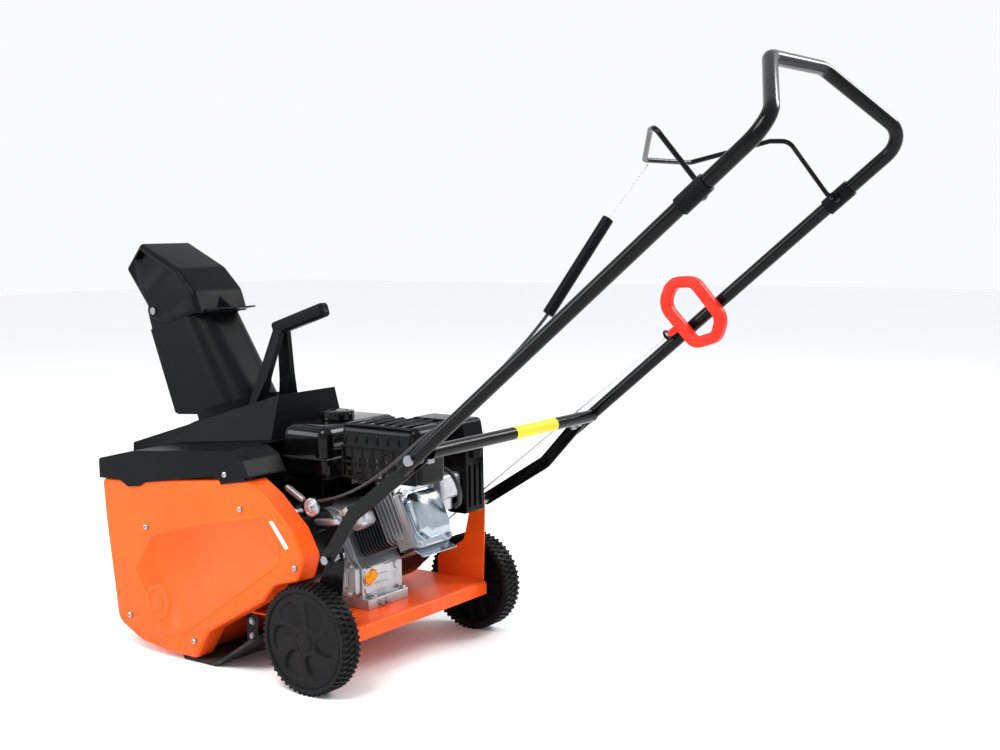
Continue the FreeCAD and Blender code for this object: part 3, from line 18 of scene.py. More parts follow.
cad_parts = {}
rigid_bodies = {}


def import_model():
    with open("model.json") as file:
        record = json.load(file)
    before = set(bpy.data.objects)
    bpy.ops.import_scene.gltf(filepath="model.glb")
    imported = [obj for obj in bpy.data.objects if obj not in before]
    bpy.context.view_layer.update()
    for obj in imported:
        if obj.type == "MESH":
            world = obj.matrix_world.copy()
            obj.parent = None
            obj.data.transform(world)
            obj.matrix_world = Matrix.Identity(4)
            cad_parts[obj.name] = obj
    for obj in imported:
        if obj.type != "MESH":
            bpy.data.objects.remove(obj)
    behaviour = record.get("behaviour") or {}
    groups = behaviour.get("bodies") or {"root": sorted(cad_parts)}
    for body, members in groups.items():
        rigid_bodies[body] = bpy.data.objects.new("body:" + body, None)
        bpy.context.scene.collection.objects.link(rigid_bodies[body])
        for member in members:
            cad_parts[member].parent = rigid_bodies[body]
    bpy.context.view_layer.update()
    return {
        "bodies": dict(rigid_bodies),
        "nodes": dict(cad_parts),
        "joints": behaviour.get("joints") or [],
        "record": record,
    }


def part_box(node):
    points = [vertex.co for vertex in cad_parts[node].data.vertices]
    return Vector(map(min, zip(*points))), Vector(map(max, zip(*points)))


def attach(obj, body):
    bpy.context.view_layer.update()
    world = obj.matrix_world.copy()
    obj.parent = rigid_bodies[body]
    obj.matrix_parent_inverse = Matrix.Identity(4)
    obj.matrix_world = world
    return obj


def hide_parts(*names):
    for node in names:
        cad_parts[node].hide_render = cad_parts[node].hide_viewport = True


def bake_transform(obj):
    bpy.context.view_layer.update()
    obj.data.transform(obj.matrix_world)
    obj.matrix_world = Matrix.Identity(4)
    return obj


LOG = logging.getLogger("snow_blower")
Number = float | int
Colour = tuple[float, float, float]
Route = tuple[tuple[float, float, float], ...]
Patch = tuple[np.ndarray, bool, bool]
MM = 0.001
GLOSS_TO_SPECULAR = 0.26
WELD = 2e-5
FLAT_ANGLE = 0.5
SMOOTH_ANGLE = 32.0
BEVEL_STEPS = 2
FLOOR_REACH = 14.0


class Body(Enum):
    """Rigid bodies that pieces ride on."""

    CHASSIS = "chassis"
    AUGER = "auger"
    LEFT_WHEEL = "left_wheel"
    RIGHT_WHEEL = "right_wheel"
    CHUTE = "chute"
    DEFLECTOR = "deflector"
    HANDLE = "handle"
    BAIL = "bail"
    PULL = "pull"
    FUEL_CAP = "fuel_cap"
    OIL_PLUG = "oil_plug"


# --- shader expressions -------------------------------------------------------


@dataclass
class Value:
    """A shader output that can be used in Python arithmetic.

    Args:
        board: The board whose node tree the output belongs to.
        raw: The Blender socket.
    """

    board: "Board"
    raw: bpy.types.NodeSocket

    def _math(self, operation: str, first: "Value | Number", second: "Value | Number") -> "Value":
        """Add a Math node and return its output."""
        return self.board.node("ShaderNodeMath", {"operation": operation}, {0: first, 1: second})

    def __add__(self, other: "Value | Number") -> "Value":
        """Sum."""
        return self._math("ADD", self, other)

    __radd__ = __add__

    def __sub__(self, other: "Value | Number") -> "Value":
        """Difference."""
        return self._math("SUBTRACT", self, other)

    def __rsub__(self, other: Number) -> "Value":
        """Difference from a number."""
        return self._math("SUBTRACT", other, self)

    def __mul__(self, other: "Value | Number") -> "Value":
        """Product."""
        return self._math("MULTIPLY", self, other)

    __rmul__ = __mul__

    def step(self, low: float, high: float) -> "Value":
        """Rise smoothly from 0 at low to 1 at high.

        Returns:
            The eased value.
        """
        return self.board.node(
            "ShaderNodeMapRange",
            {"interpolation_type": "SMOOTHSTEP", "clamp": True},
            {"Value": self, "From Min": low, "From Max": high},
        )


class Board:
    """One material's node tree, with short calls for the nodes that it uses."""

    def __init__(self, name: str) -> None:
        """Start an empty material.

        Args:
            name: The material's name.
        """
        self.material = bpy.data.materials.new(name)
        self.material.use_nodes = True
        self.tree = self.material.node_tree
        self.tree.nodes.clear()
        self.place = self.node("ShaderNodeTexCoord", {}, {}, "Object")

    def node(
        self,
        kind: str,
        settings: dict[str, object],
        values: dict[str | int, object],
        output: str | int = 0,
    ) -> Value:
        """Add any node.

        Args:
            kind: The node's type name.
            settings: Properties, set before its sockets.
            values: Socket names or numbers with a value or a link each.
            output: The output to return.

        Returns:
            The chosen output.
        """
        made = self.tree.nodes.new(kind)
        for key, setting in settings.items():
            setattr(made, key, setting)
        for key, value in values.items():
            if isinstance(value, Value):
                self.tree.links.new(value.raw, made.inputs[key])
            else:
                made.inputs[key].default_value = value
        return Value(self, made.outputs[output]) if len(made.outputs) else Value(self, None)

    def noise(self, scale: float, detail: float = 3.0, rough: float = 0.55,
              stretch: Sequence[float] = (1, 1, 1)) -> Value:
        """Fractal noise over the piece, 0 to 1, optionally stretched along an axis."""
        where = self.place
        if tuple(stretch) != (1, 1, 1):
            where = self.node("ShaderNodeMapping", {}, {"Vector": self.place, "Scale": tuple(stretch)})
        return self.node("ShaderNodeTexNoise", {}, {
            "Vector": where, "Scale": scale, "Detail": detail, "Roughness": rough})

    def cells(self, scale: float) -> Value:
        """Distance in a field of random cells."""
        return self.node("ShaderNodeTexVoronoi", {"feature": "F1"},
                         {"Vector": self.place, "Scale": scale}, "Distance")

    def mix(self, amount: "Value | Number", low: object, high: object) -> Value:
        """Blend two colours."""
        return self.node("ShaderNodeMix", {"data_type": "RGBA"},
                         {0: amount, 6: low, 7: high}, 2)

    def heading(self, axis: int) -> Value:
        """One part of the surface's direction, from -1 to 1."""
        normal = self.node("ShaderNodeNewGeometry", {}, {}, "True Normal")
        return self.node("ShaderNodeSeparateXYZ", {}, {0: normal}, axis)

    def height(self) -> Value:
        """Height above the ground in metres."""
        return self.node("ShaderNodeSeparateXYZ", {}, {0: self.place}, 2)

    def soft_edges(self, radius: float) -> tuple[Value, Value]:
        """Rounded-off normals, and a mask of the edges that they round.

        Args:
            radius: Rounding radius in metres.

        Returns:
            The rounded normal and the edge mask.
        """
        rounded = self.node("ShaderNodeBevel", {"samples": 4}, {"Radius": radius})
        true = self.node("ShaderNodeNewGeometry", {}, {}, "Normal")
        alike = self.node("ShaderNodeVectorMath", {"operation": "DOT_PRODUCT"},
                          {0: rounded, 1: true}, "Value")
        return rounded, (1 - alike).step(0.03, 0.35)

    def finish(self, surface: dict[str, object]) -> bpy.types.Material:
        """Close the tree with a Principled surface.

        Args:
            surface: Socket names with values or links.

        Returns:
            The material.
        """
        shader = self.node("ShaderNodeBsdfPrincipled", {}, surface)
        self.node("ShaderNodeOutputMaterial", {}, {"Surface": shader})
        return self.material


def rgba(colour: Colour, gain: float = 1.0) -> tuple[float, float, float, float]:
    """A colour with full alpha, made lighter or darker."""
    return tuple(min(part * gain, 1.0) for part in colour) + (1.0,)


# --- finishes -------------------------------------------------------------------


@dataclass(frozen=True)
class Paint:
    """Sprayed enamel or powder coat on sheet metal, worn on its edges and dusty on top."""

    name: str
    colour: Colour
    base: Colour = (0.12, 0.11, 0.11)
    rough: float = 0.3
    coat: float = 0.6
    wear: float = 0.5
    dust: float = 0.25
    peel: float = 0.05
    scuff: float = 0.3
    gloss: float = 0.5

    def build(self) -> bpy.types.Material:
        """Make the material.

        Returns:
            A coat with fine orange-peel bump, faded patches, edge wear, scuffs and dust.
        """
        board = Board(self.name)
        normal, edges = board.soft_edges(0.0011)
        patches = board.noise(7.0, 4.0, 0.6)
        grit = board.noise(420.0, 2.0)
        worn = (edges * board.noise(90.0, 4.0, 0.7).step(0.52, 0.68)) * self.wear
        scuffs = board.noise(60.0, 5.0, 0.75, (0.35, 1, 2.4)).step(0.66, 0.78) * 0.35
        low_dirt = (1 - board.height().step(0.02, 0.22)) * board.noise(38.0, 5.0, 0.7).step(0.4, 0.75)
        dust = board.heading(2).step(0.4, 1.0) * patches.step(0.35, 0.8) * self.dust + low_dirt * 0.14
        faded = board.mix(patches.step(0.3, 0.75), rgba(self.colour, 0.9), rgba(self.colour, 1.08))
        scuffed = board.mix(scuffs * self.scuff, faded, rgba(self.colour, 0.62))
        dusty = board.mix(dust * 0.55, scuffed, (0.34, 0.31, 0.28, 1))
        colour = board.mix(worn, dusty, rgba(self.base))
        rough = (board.noise(160.0) - 0.5) * 0.12 + dust * 0.35 + scuffs * 0.2 + self.rough
        bump = board.node("ShaderNodeBump", {}, {
            "Strength": self.peel, "Distance": 0.0005,
            "Height": board.noise(900.0, 2.0) + grit * 0.4 - worn * 2.0, "Normal": normal})
        return board.finish({"Base Color": colour, "Roughness": rough, "Normal": bump,
                             "Metallic": worn * 0.6, "Coat Weight": (1 - dust) * self.coat,
                             "Coat Roughness": 0.1, "Specular IOR Level": self.gloss * GLOSS_TO_SPECULAR})


@dataclass(frozen=True)
class Plastic:
    """Injection-moulded plastic with a spark-eroded grain, scuffed pale on its edges."""

    name: str
    colour: Colour
    rough: float = 0.5
    grain: float = 0.25
    grain_scale: float = 1300.0
    scuff: float = 0.35
    dust: float = 0.3
    coat: float = 0.0
    gloss: float = 0.5

    def build(self) -> bpy.types.Material:
        """Make the material.

        Returns:
            Grained plastic with flow marks, pale scuffs and dust on level faces.
        """
        board = Board(self.name)
        normal, edges = board.soft_edges(0.0014)
        flow = board.noise(5.0, 4.0, 0.6, (1, 1, 0.4))
        blotch = board.noise(34.0, 5.0, 0.65)
        scratches = board.noise(95.0, 4.0, 0.8, (0.2, 1, 3.0)).step(0.64, 0.74) * self.scuff
        rub = edges * board.noise(120.0, 3.0).step(0.42, 0.66) * self.scuff
        dust = board.heading(2).step(0.3, 1.0) * blotch.step(0.4, 0.78) * self.dust
        tone = board.mix(flow.step(0.3, 0.75), rgba(self.colour, 0.85), rgba(self.colour, 1.2))
        marked = board.mix(scratches * 0.16 + rub * 0.4, tone, (0.2, 0.2, 0.205, 1))
        colour = board.mix(dust * 0.4, marked, (0.3, 0.29, 0.275, 1))
        rough = blotch * 0.16 + dust * 0.3 + scratches * 0.12 + (self.rough - 0.08)
        bump = board.node("ShaderNodeBump", {}, {
            "Strength": self.grain, "Distance": 0.00035,
            "Height": board.noise(self.grain_scale, 2.0, 0.6) + board.cells(self.grain_scale * 0.6) * 0.5,
            "Normal": normal})
        return board.finish({"Base Color": colour, "Roughness": rough, "Normal": bump,
                             "Coat Weight": self.coat, "Coat Roughness": 0.06,
                             "Specular IOR Level": self.gloss * GLOSS_TO_SPECULAR})


@dataclass(frozen=True)
class Metal:
    """Bare or plated metal: cast, brushed, zinc-plated or burnt."""

    name: str
    colour: Colour
    rough: float = 0.35
    metallic: float = 1.0
    stretch: tuple[float, float, float] = (1, 1, 1)
    scale: float = 260.0
    bump: float = 0.2
    tint: Colour = (0.3, 0.3, 0.3)
    tint_amount: float = 0.3
    edge: float = 0.4
    edge_gain: float = 1.3

    def build(self) -> bpy.types.Material:
        """Make the material.

        Returns:
            Metal with a fine surface texture, stains and dull patches.
        """
        board = Board(self.name)
        normal, edges = board.soft_edges(0.0009)
        cloud = board.noise(26.0, 5.0, 0.65)
        texture = board.noise(self.scale, 4.0, 0.7, self.stretch)
        stains = cloud.step(0.45, 0.75) * self.tint_amount
        bright = board.mix(texture, rgba(self.colour, 0.82), rgba(self.colour, 1.12))
        stained = board.mix(stains, bright, rgba(self.tint))
        colour = board.mix(edges * self.edge, stained, rgba(self.colour, self.edge_gain))
        rough = (texture - 0.5) * 0.22 + stains * 0.35 + self.rough
        bump = board.node("ShaderNodeBump", {}, {
            "Strength": self.bump, "Distance": 0.0004, "Height": texture, "Normal": normal})
        return board.finish({"Base Color": colour, "Roughness": rough, "Normal": bump,
                             "Metallic": self.metallic})


@dataclass(frozen=True)
class Rubber:
    """Matt rubber with a mould bloom and ground-in dirt."""

    name: str
    colour: Colour = (0.022, 0.022, 0.023)
    rough: float = 0.72
    grime: float = 0.4

    def build(self) -> bpy.types.Material:
        """Make the material.

        Returns:
            Rubber with grain, bloom and dried dirt.
        """
        board = Board(self.name)
        normal, edges = board.soft_edges(0.001)
        bloom = board.noise(22.0, 5.0, 0.7)
        dirt = board.noise(70.0, 6.0, 0.75).step(0.48, 0.72) * self.grime
        tone = board.mix(bloom, rgba(self.colour, 0.8), rgba(self.colour, 1.7))
        colour = board.mix(dirt * 0.5 + edges * 0.12, tone, (0.17, 0.15, 0.13, 1))
        bump = board.node("ShaderNodeBump", {}, {
            "Strength": 0.35, "Distance": 0.0004, "Height": board.noise(700.0, 3.0) + dirt * 0.8,
            "Normal": normal})
        return board.finish({"Base Color": colour, "Roughness": bloom * 0.15 + (self.rough - 0.05),
                             "Normal": bump})


class Finish(Enum):
    """Every finish on the machine."""

    ORANGE = Paint("orange_enamel", (0.95, 0.095, 0.01), rough=0.34, coat=0.08, dust=0.02, wear=0.25,
                   gloss=0.3)
    BLACK = Paint("black_enamel", (0.003, 0.003, 0.0033), base=(0.3, 0.29, 0.28), rough=0.24, wear=0.18,
                  dust=0.015, coat=0.08, gloss=0.25)
    TUBE = Paint("black_tube_coat", (0.002, 0.002, 0.0023), base=(0.3, 0.3, 0.3), rough=0.15, coat=0.12,
                 wear=0.1, dust=0.01, scuff=0.1, gloss=0.3)
    BLADE = Paint("worn_blade_black", (0.012, 0.012, 0.013), base=(0.34, 0.3, 0.26), rough=0.42, coat=0.05,
                  wear=0.9, dust=0.2, gloss=0.3)
    CHARCOAL = Plastic("charcoal_moulding", (0.0045, 0.0047, 0.0052), rough=0.35, dust=0.015, scuff=0.07,
                       gloss=0.18)
    ENGINE_BLACK = Plastic("engine_black_moulding", (0.002, 0.002, 0.0023), rough=0.22, grain=0.08,
                           dust=0.012, scuff=0.08, gloss=0.28)
    TANK = Plastic("gloss_tank_black", (0.002, 0.002, 0.0022), rough=0.1, grain=0.012, scuff=0.04,
                   dust=0.02, coat=0.2, gloss=0.3)
    CAST = Metal("cast_aluminium", (0.5, 0.51, 0.53), rough=0.42, scale=420.0, bump=0.5,
                 tint=(0.13, 0.125, 0.12), tint_amount=0.35)
    FIN_DARK = Metal("darkened_fins", (0.085, 0.087, 0.093), rough=0.36, scale=420.0, bump=0.4,
                     tint=(0.02, 0.02, 0.02), tint_amount=0.5, edge=0.9, edge_gain=5.0)
    ZINC = Metal("bright_zinc_plate", (0.4, 0.45, 0.5), rough=0.2, scale=60.0, bump=0.008,
                 tint=(0.3, 0.35, 0.4), tint_amount=0.15, edge=0.1)
    BOLT = Metal("bolt_steel", (0.24, 0.245, 0.26), rough=0.28, scale=300.0, bump=0.1,
                 tint=(0.1, 0.09, 0.08))
    STEEL = Metal("bright_steel", (0.4, 0.41, 0.43), rough=0.25, scale=500.0, bump=0.1,
                  tint=(0.3, 0.28, 0.25))
    EXHAUST = Metal("burnt_exhaust_steel", (0.2, 0.18, 0.17), rough=0.5, scale=300.0, bump=0.3,
                    tint=(0.1, 0.06, 0.04), tint_amount=0.6)
    IRON = Metal("grey_iron", (0.16, 0.16, 0.165), rough=0.5, scale=500.0, bump=0.4)
    RUBBER = Rubber("black_rubber", (0.006, 0.006, 0.0065), grime=0.2)
    TYRE = Plastic("moulded_wheel", (0.0075, 0.0075, 0.008), rough=0.4, grain=0.2, scuff=0.14, dust=0.05,
                   gloss=0.25)
    CORD = Rubber("cable_jacket", (0.005, 0.005, 0.0055), rough=0.35, grime=0.05)
    AMBER = Plastic("amber_plug", (0.95, 0.29, 0.012), rough=0.3, grain=0.08, scuff=0.1, dust=0.03)
    RED = Plastic("red_grip", (0.74, 0.03, 0.018), rough=0.3, grain=0.1, scuff=0.08, dust=0.02, coat=0.05,
                  gloss=0.3)
    ROPE = Plastic("rope_braid", (0.5, 0.5, 0.5), rough=0.7, grain=0.9, grain_scale=900.0, dust=0.0)
    YELLOW = Plastic("yellow_label", (0.85, 0.62, 0.03), rough=0.3, grain=0.03, scuff=0.08, dust=0.02)
    WHITE = Plastic("reflective_strip", (0.86, 0.84, 0.8), rough=0.3, grain=0.1, scuff=0.08, dust=0.03)


class Palette:
    """Hands out each finish's material, building it the first time."""

    def __init__(self) -> None:
        """Start with nothing built."""
        self._made: dict[Finish, bpy.types.Material] = {}

    def get(self, finish: Finish) -> bpy.types.Material:
        """The material of a finish."""
        if finish not in self._made:
            self._made[finish] = finish.value.build()
        return self._made[finish]


# --- camera, light and floor --------------------------------------------------------


@dataclass
class Studio:
    """A pale floor, soft light and the camera.

    Args:
        origin_back: Distance of the model's origin behind the wheel axle.
    """

    origin_back: float
    camera_place: tuple[float, float, float] = (1.8807, 1.5906, 0.78825)
    sensor: float = 36.0
    yaw: float = math.radians(35.74)
    pitch: float = math.radians(6.187)
    roll: float = math.radians(0.864)
    lens: float = 49.13

    def aim(self) -> None:
        """Place the camera by its yaw, its dip below the horizon and its roll."""
        forward = Vector((-math.cos(self.yaw) * math.cos(self.pitch),
                          -math.sin(self.yaw) * math.cos(self.pitch), -math.sin(self.pitch)))
        level = forward.cross(Vector((0, 0, 1))).normalized()
        down = forward.cross(level)
        right = level * math.cos(self.roll) + down * math.sin(self.roll)
        up = -(down * math.cos(self.roll) - level * math.sin(self.roll))
        data = bpy.data.cameras.new("camera")
        data.sensor_width, data.lens = self.sensor, self.lens
        camera = bpy.data.objects.new("camera", data)
        turn = Matrix((right, up, -forward)).transposed().to_4x4()
        x, y, z = self.camera_place
        camera.matrix_world = Matrix.Translation((x, y - self.origin_back, z)) @ turn
        bpy.context.scene.collection.objects.link(camera)
        bpy.context.scene.camera = camera

    def light(self) -> None:
        """Large soft lamps: a key from behind the operator's left, a fill and a rim."""
        lamps = (
            ("key", (2.2, 0.2, 3.4), 1.5, 110.0, (1.0, 0.985, 0.96)),
            ("fill", (2.6, -2.6, 1.5), 1.6, 60.0, (0.95, 0.975, 1.0)),
            ("rim", (-2.6, 1.6, 2.6), 1.4, 90.0, (1.0, 1.0, 1.0)),
        )
        for name, place, extent, power, colour in lamps:
            data = bpy.data.lights.new(name, "AREA")
            data.size, data.energy, data.color = extent, power, colour
            lamp = bpy.data.objects.new(name, data)
            turn = (Vector((0, 0, 0.4)) - Vector(place)).to_track_quat("-Z", "Y")
            lamp.matrix_world = Matrix.Translation(place) @ turn.to_matrix().to_4x4()
            bpy.context.scene.collection.objects.link(lamp)
        world = bpy.data.worlds.new("studio_air")
        world.use_nodes = True
        air = world.node_tree.nodes["Background"]
        air.inputs["Color"].default_value = (0.95, 0.97, 1.0, 1)
        air.inputs["Strength"].default_value = 1.0
        bpy.context.scene.world = world

    @staticmethod
    def tone() -> None:
        """Show colours as they are lit, without a film curve."""
        bpy.context.scene.view_settings.view_transform = "Standard"

    def floor(self) -> None:
        """A wide pale floor: a flat square sheet at the ground."""
        mesh = bpy.data.meshes.new("floor")
        corners = [(x * FLOOR_REACH, y * FLOOR_REACH, 0) for x, y in ((-1, -1), (1, -1), (1, 1), (-1, 1))]
        mesh.from_pydata(corners, [], [(0, 1, 2, 3)])
        sheet = bpy.data.objects.new("floor", mesh)
        bpy.context.scene.collection.objects.link(sheet)
        board = Board("pale_floor")
        tone = board.mix(board.noise(3.0, 5.0), (0.93, 0.93, 0.93, 1), (0.95, 0.95, 0.95, 1))
        mesh.materials.append(board.finish({"Base Color": tone, "Roughness": 0.75}))


# --- meshes ---------------------------------------------------------------------------


class Shop:
    """Makes pieces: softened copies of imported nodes, and new surfaces on numpy grids."""

    def __init__(self, frame: dict, palette: Palette) -> None:
        """Keep the frame and the palette."""
        self.frame = frame
        self.palette = palette
        self.slots = {part["node"]: part["material_slot"] for part in frame["record"]["subparts"]}
        low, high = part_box("wheel_axle")
        self.datum_y = (low[1] + high[1]) / 2 / MM

    def _add(self, name: str, mesh: bpy.types.Mesh, body: Body | None, finish: Finish) -> bpy.types.Object:
        """Link a mesh as a piece with its finish's material, riding on a body if one is given."""
        piece = bpy.data.objects.new(name, mesh)
        bpy.context.scene.collection.objects.link(piece)
        mesh.materials.clear()
        mesh.materials.append(self.palette.get(finish))
        if body is not None:
            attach(piece, body.value)
        return piece

    @staticmethod
    def _shade(mesh: bpy.types.Mesh, smooth: float) -> None:
        """Shade a mesh smooth apart from edges sharper than an angle in degrees."""
        mesh.polygons.foreach_set("use_smooth", np.ones(len(mesh.polygons), dtype=bool))
        mesh.set_sharp_from_angle(angle=math.radians(smooth))

    def span(self, node: str) -> tuple[np.ndarray, np.ndarray]:
        """A node's lowest and highest corners in millimetres from the axle."""
        low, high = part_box(node)
        datum = np.array((0, self.datum_y, 0))
        return np.array(low) / MM - datum, np.array(high) / MM - datum

    def dress(self, node: str, finish: Finish) -> None:
        """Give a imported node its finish."""
        held = self.frame["nodes"][node]
        if not held.material_slots:
            held.data.materials.append(None)
        for place in held.material_slots:
            place.material = self.palette.get(finish)

    def soften(self, node: str, body: Body, finish: Finish, edge: float) -> bpy.types.Object:
        """Stand in for a node with a copy whose hard edges are rounded.

        Args:
            node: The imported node.
            body: The body that it belongs to.
            finish: Its finish.
            edge: Rounding width in metres; nothing is rounded at 0.

        Returns:
            The new piece.
        """
        mesh = self.frame["nodes"][node].data.copy()
        mesh.name = node + "_skin"
        work = bmesh.new()
        work.from_mesh(mesh)
        bmesh.ops.remove_doubles(work, verts=work.verts, dist=WELD)
        bmesh.ops.dissolve_limit(work, angle_limit=math.radians(FLAT_ANGLE), verts=work.verts,
                                 edges=work.edges)
        work.to_mesh(mesh)
        work.free()
        for name in [layer.name for layer in mesh.uv_layers]:
            mesh.uv_layers.remove(mesh.uv_layers[name])
        self._shade(mesh, SMOOTH_ANGLE)
        piece = self._add(node + "_skin", mesh, body, finish)
        if edge > 0:
            bevel = piece.modifiers.new("edges", "BEVEL")
            bevel.width, bevel.segments = edge, BEVEL_STEPS
            bevel.limit_method, bevel.angle_limit = "ANGLE", math.radians(SMOOTH_ANGLE)
            bevel.harden_normals = True
        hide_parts(node)
        return piece

    def grids(self, name: str, body: Body | None, finish: Finish, slot_of: str,
              patches: Iterable[Patch], smooth: float = 40.0) -> bpy.types.Object:
        """A piece of one or more grids of points in millimetres from the axle.

        Args:
            name: The piece's name.
            body: The body that it rides on, or nothing for a piece left on no body.
            finish: Its finish.
            slot_of: Not used.
            patches: Grids with whether each wraps along its rows and its columns.
            smooth: Angle in degrees below which edges are shaded smooth.

        Returns:
            The new piece.
        """
        places, faces, start = [], [], 0
        for points, wrap_u, wrap_v in patches:
            rows, columns = points.shape[:2]
            u = np.arange(rows if wrap_u else rows - 1)[:, None]
            v = np.arange(columns if wrap_v else columns - 1)[None, :]
            next_u, next_v = (u + 1) % rows, (v + 1) % columns
            quads = np.stack(np.broadcast_arrays(u * columns + v, next_u * columns + v,
                                                 next_u * columns + next_v, u * columns + next_v), axis=-1)
            faces.append(quads.reshape(-1, 4) + start)
            places.append((points.reshape(-1, 3) + (0, self.datum_y, 0)) * MM)
            start += rows * columns
        mesh = bpy.data.meshes.new(name)
        mesh.from_pydata(np.concatenate(places).tolist(), [], np.concatenate(faces).tolist())
        work = bmesh.new()
        work.from_mesh(mesh)
        bmesh.ops.remove_doubles(work, verts=work.verts, dist=1e-6)
        bmesh.ops.dissolve_degenerate(work, dist=1e-6, edges=work.edges)
        open_edges = [edge for edge in work.edges if edge.is_boundary]
        bmesh.ops.holes_fill(work, edges=open_edges, sides=0)
        bmesh.ops.recalc_face_normals(work, faces=work.faces)
        work.to_mesh(mesh)
        work.free()
        self._shade(mesh, smooth)
        return self._add(name, mesh, body, finish)


# --- surfaces from formulas -----------------------------------------------------------


def unit(vector: Sequence[float]) -> np.ndarray:
    """A vector scaled to length one."""
    array = np.array(vector, dtype=float)
    return array / np.linalg.norm(array)


def across(axis: Sequence[float]) -> tuple[np.ndarray, np.ndarray, np.ndarray]:
    """An axis with two directions square to it and to each other."""
    along = unit(axis)
    helper = np.array((0.0, 0.0, 1.0)) if abs(along[2]) < 0.9 else np.array((1.0, 0.0, 0.0))
    side = unit(np.cross(helper, along))
    return side, np.cross(along, side), along


def lathe(start: Sequence[float], axis: Sequence[float], profile: Sequence[tuple[float, float]],
          count: int = 40) -> Patch:
    """A turned surface: each profile point (along, radius) swept round the axis.

    Args:
        start: Where the axis begins, in millimetres from the axle.
        axis: Its direction.
        profile: Points of distance along the axis and radius.
        count: Steps round the axis; six makes a hexagon.

    Returns:
        A grid wrapped round the axis.
    """
    side, up, along = across(axis)
    angle = np.linspace(0, 2 * np.pi, count, endpoint=False)
    ring = np.cos(angle)[:, None] * side + np.sin(angle)[:, None] * up
    rows = [np.array(start) + along * reach + ring * radius for reach, radius in profile]
    return np.stack(rows), False, True


def tube(path: Sequence[Sequence[float]], radius: float, count: int = 12) -> Patch:
    """A round rod along a path, its rings turned along the path's mean heading."""
    points = np.array(path, dtype=float)
    heading = np.gradient(points, axis=0)
    side = across(points[-1] - points[0])[0]
    angle = np.linspace(0, 2 * np.pi, count, endpoint=False)
    rows = []
    for point, ahead in zip(points, heading):
        ahead = unit(ahead)
        first = unit(side - ahead * side.dot(ahead))
        second = np.cross(ahead, first)
        rows.append(point + (np.cos(angle)[:, None] * first + np.sin(angle)[:, None] * second) * radius)
    return np.stack(rows), False, True


def rounded_box(centre: Sequence[float], half: Sequence[float], frame: np.ndarray | None = None,
                square: float = 0.28, steps: int = 20) -> Patch:
    """A superquadric: sines and cosines raised to a low power give a box with soft edges."""
    polar = np.linspace(-np.pi / 2, np.pi / 2, steps)[:, None]
    turn = np.linspace(-np.pi, np.pi, steps * 2, endpoint=False)[None, :] + np.pi / (steps * 2)

    def bent(value: np.ndarray) -> np.ndarray:
        return np.sign(value) * np.abs(value) ** square

    shape = np.stack(np.broadcast_arrays(
        bent(np.cos(polar)) * bent(np.cos(turn)), bent(np.cos(polar)) * bent(np.sin(turn)),
        bent(np.sin(polar))), axis=-1) * np.array(half)
    basis = np.eye(3) if frame is None else frame
    return np.array(centre) + shape @ basis, False, True


def slab(centre: Sequence[float], half: Sequence[float], steps: int = 20) -> Patch:
    """A box with tightly rounded edges, square to the machine."""
    return rounded_box(centre, half, square=0.2, steps=steps)


def rounded_loop(corners: Sequence[tuple[float, float]], radius: float, steps: int = 5) -> np.ndarray:
    """A polygon with every corner replaced by an arc tangent to its two sides."""
    ring = np.array(corners, dtype=float)
    loop = []
    for index, corner_point in enumerate(ring):
        before = unit(ring[index - 1] - corner_point)
        after = unit(ring[(index + 1) % len(ring)] - corner_point)
        half_angle = math.acos(float(np.clip(before.dot(after), -1, 1))) / 2
        trim = min(radius / math.tan(half_angle), 0.45 * min(
            np.linalg.norm(ring[index - 1] - corner_point),
            np.linalg.norm(ring[(index + 1) % len(ring)] - corner_point)))
        first, last = corner_point + before * trim, corner_point + after * trim
        for share in np.linspace(0, 1, steps):
            rest = 1 - share
            loop.append(rest ** 2 * first + 2 * share * rest * corner_point + share ** 2 * last)
    return np.array(loop)


def mound(loop: np.ndarray, layers: Sequence[tuple[float, float]], origin: Sequence[float],
          frame: np.ndarray) -> Patch:
    """A raised pad: the loop moved inwards and lifted, one layer at a time.

    Args:
        loop: Outline in the pad's own plane.
        layers: Distance inwards and height of each ring.
        origin: The plane's origin in millimetres from the axle.
        frame: Rows of the plane's first and second directions and its outward normal.

    Returns:
        A grid wrapped round the outline.
    """
    ahead = np.roll(loop, -1, axis=0) - np.roll(loop, 1, axis=0)
    normal = np.stack([-ahead[:, 1], ahead[:, 0]], axis=1)
    normal /= np.linalg.norm(normal, axis=1)[:, None] + 1e-9
    area = np.sum(loop[:, 0] * np.roll(loop[:, 1], -1) - np.roll(loop[:, 0], -1) * loop[:, 1])
    inward = normal * (1.0 if area > 0 else -1.0)
    rows = []
    for sink, lift in layers:
        flat = loop + inward * sink
        rows.append(np.array(origin) + flat[:, :1] * frame[0] + flat[:, 1:] * frame[1] + frame[2] * lift)
    return np.stack(rows), False, True


def bolt(base: Sequence[float], axis: Sequence[float], radius: float, height: float) -> list[Patch]:
    """A hexagon bolt head with a domed top on a round flange."""
    flange = radius * 1.4
    collar = lathe(base, axis, [(-0.4, flange), (0.8, flange), (1.3, flange * 0.9), (1.3, radius * 0.5)], 28)
    head = lathe(base, axis, [(1.0, radius), (height - 0.7, radius), (height, radius * 0.86),
                              (height, radius * 0.55), (height - 0.8, radius * 0.5),
                              (height - 0.8, 0.0)], 6)
    return [collar, head]


FACE_X = np.array(((0.0, 1.0, 0.0), (0.0, 0.0, 1.0), (1.0, 0.0, 0.0)))


# --- sub-assemblies ---------------------------------------------------------------------


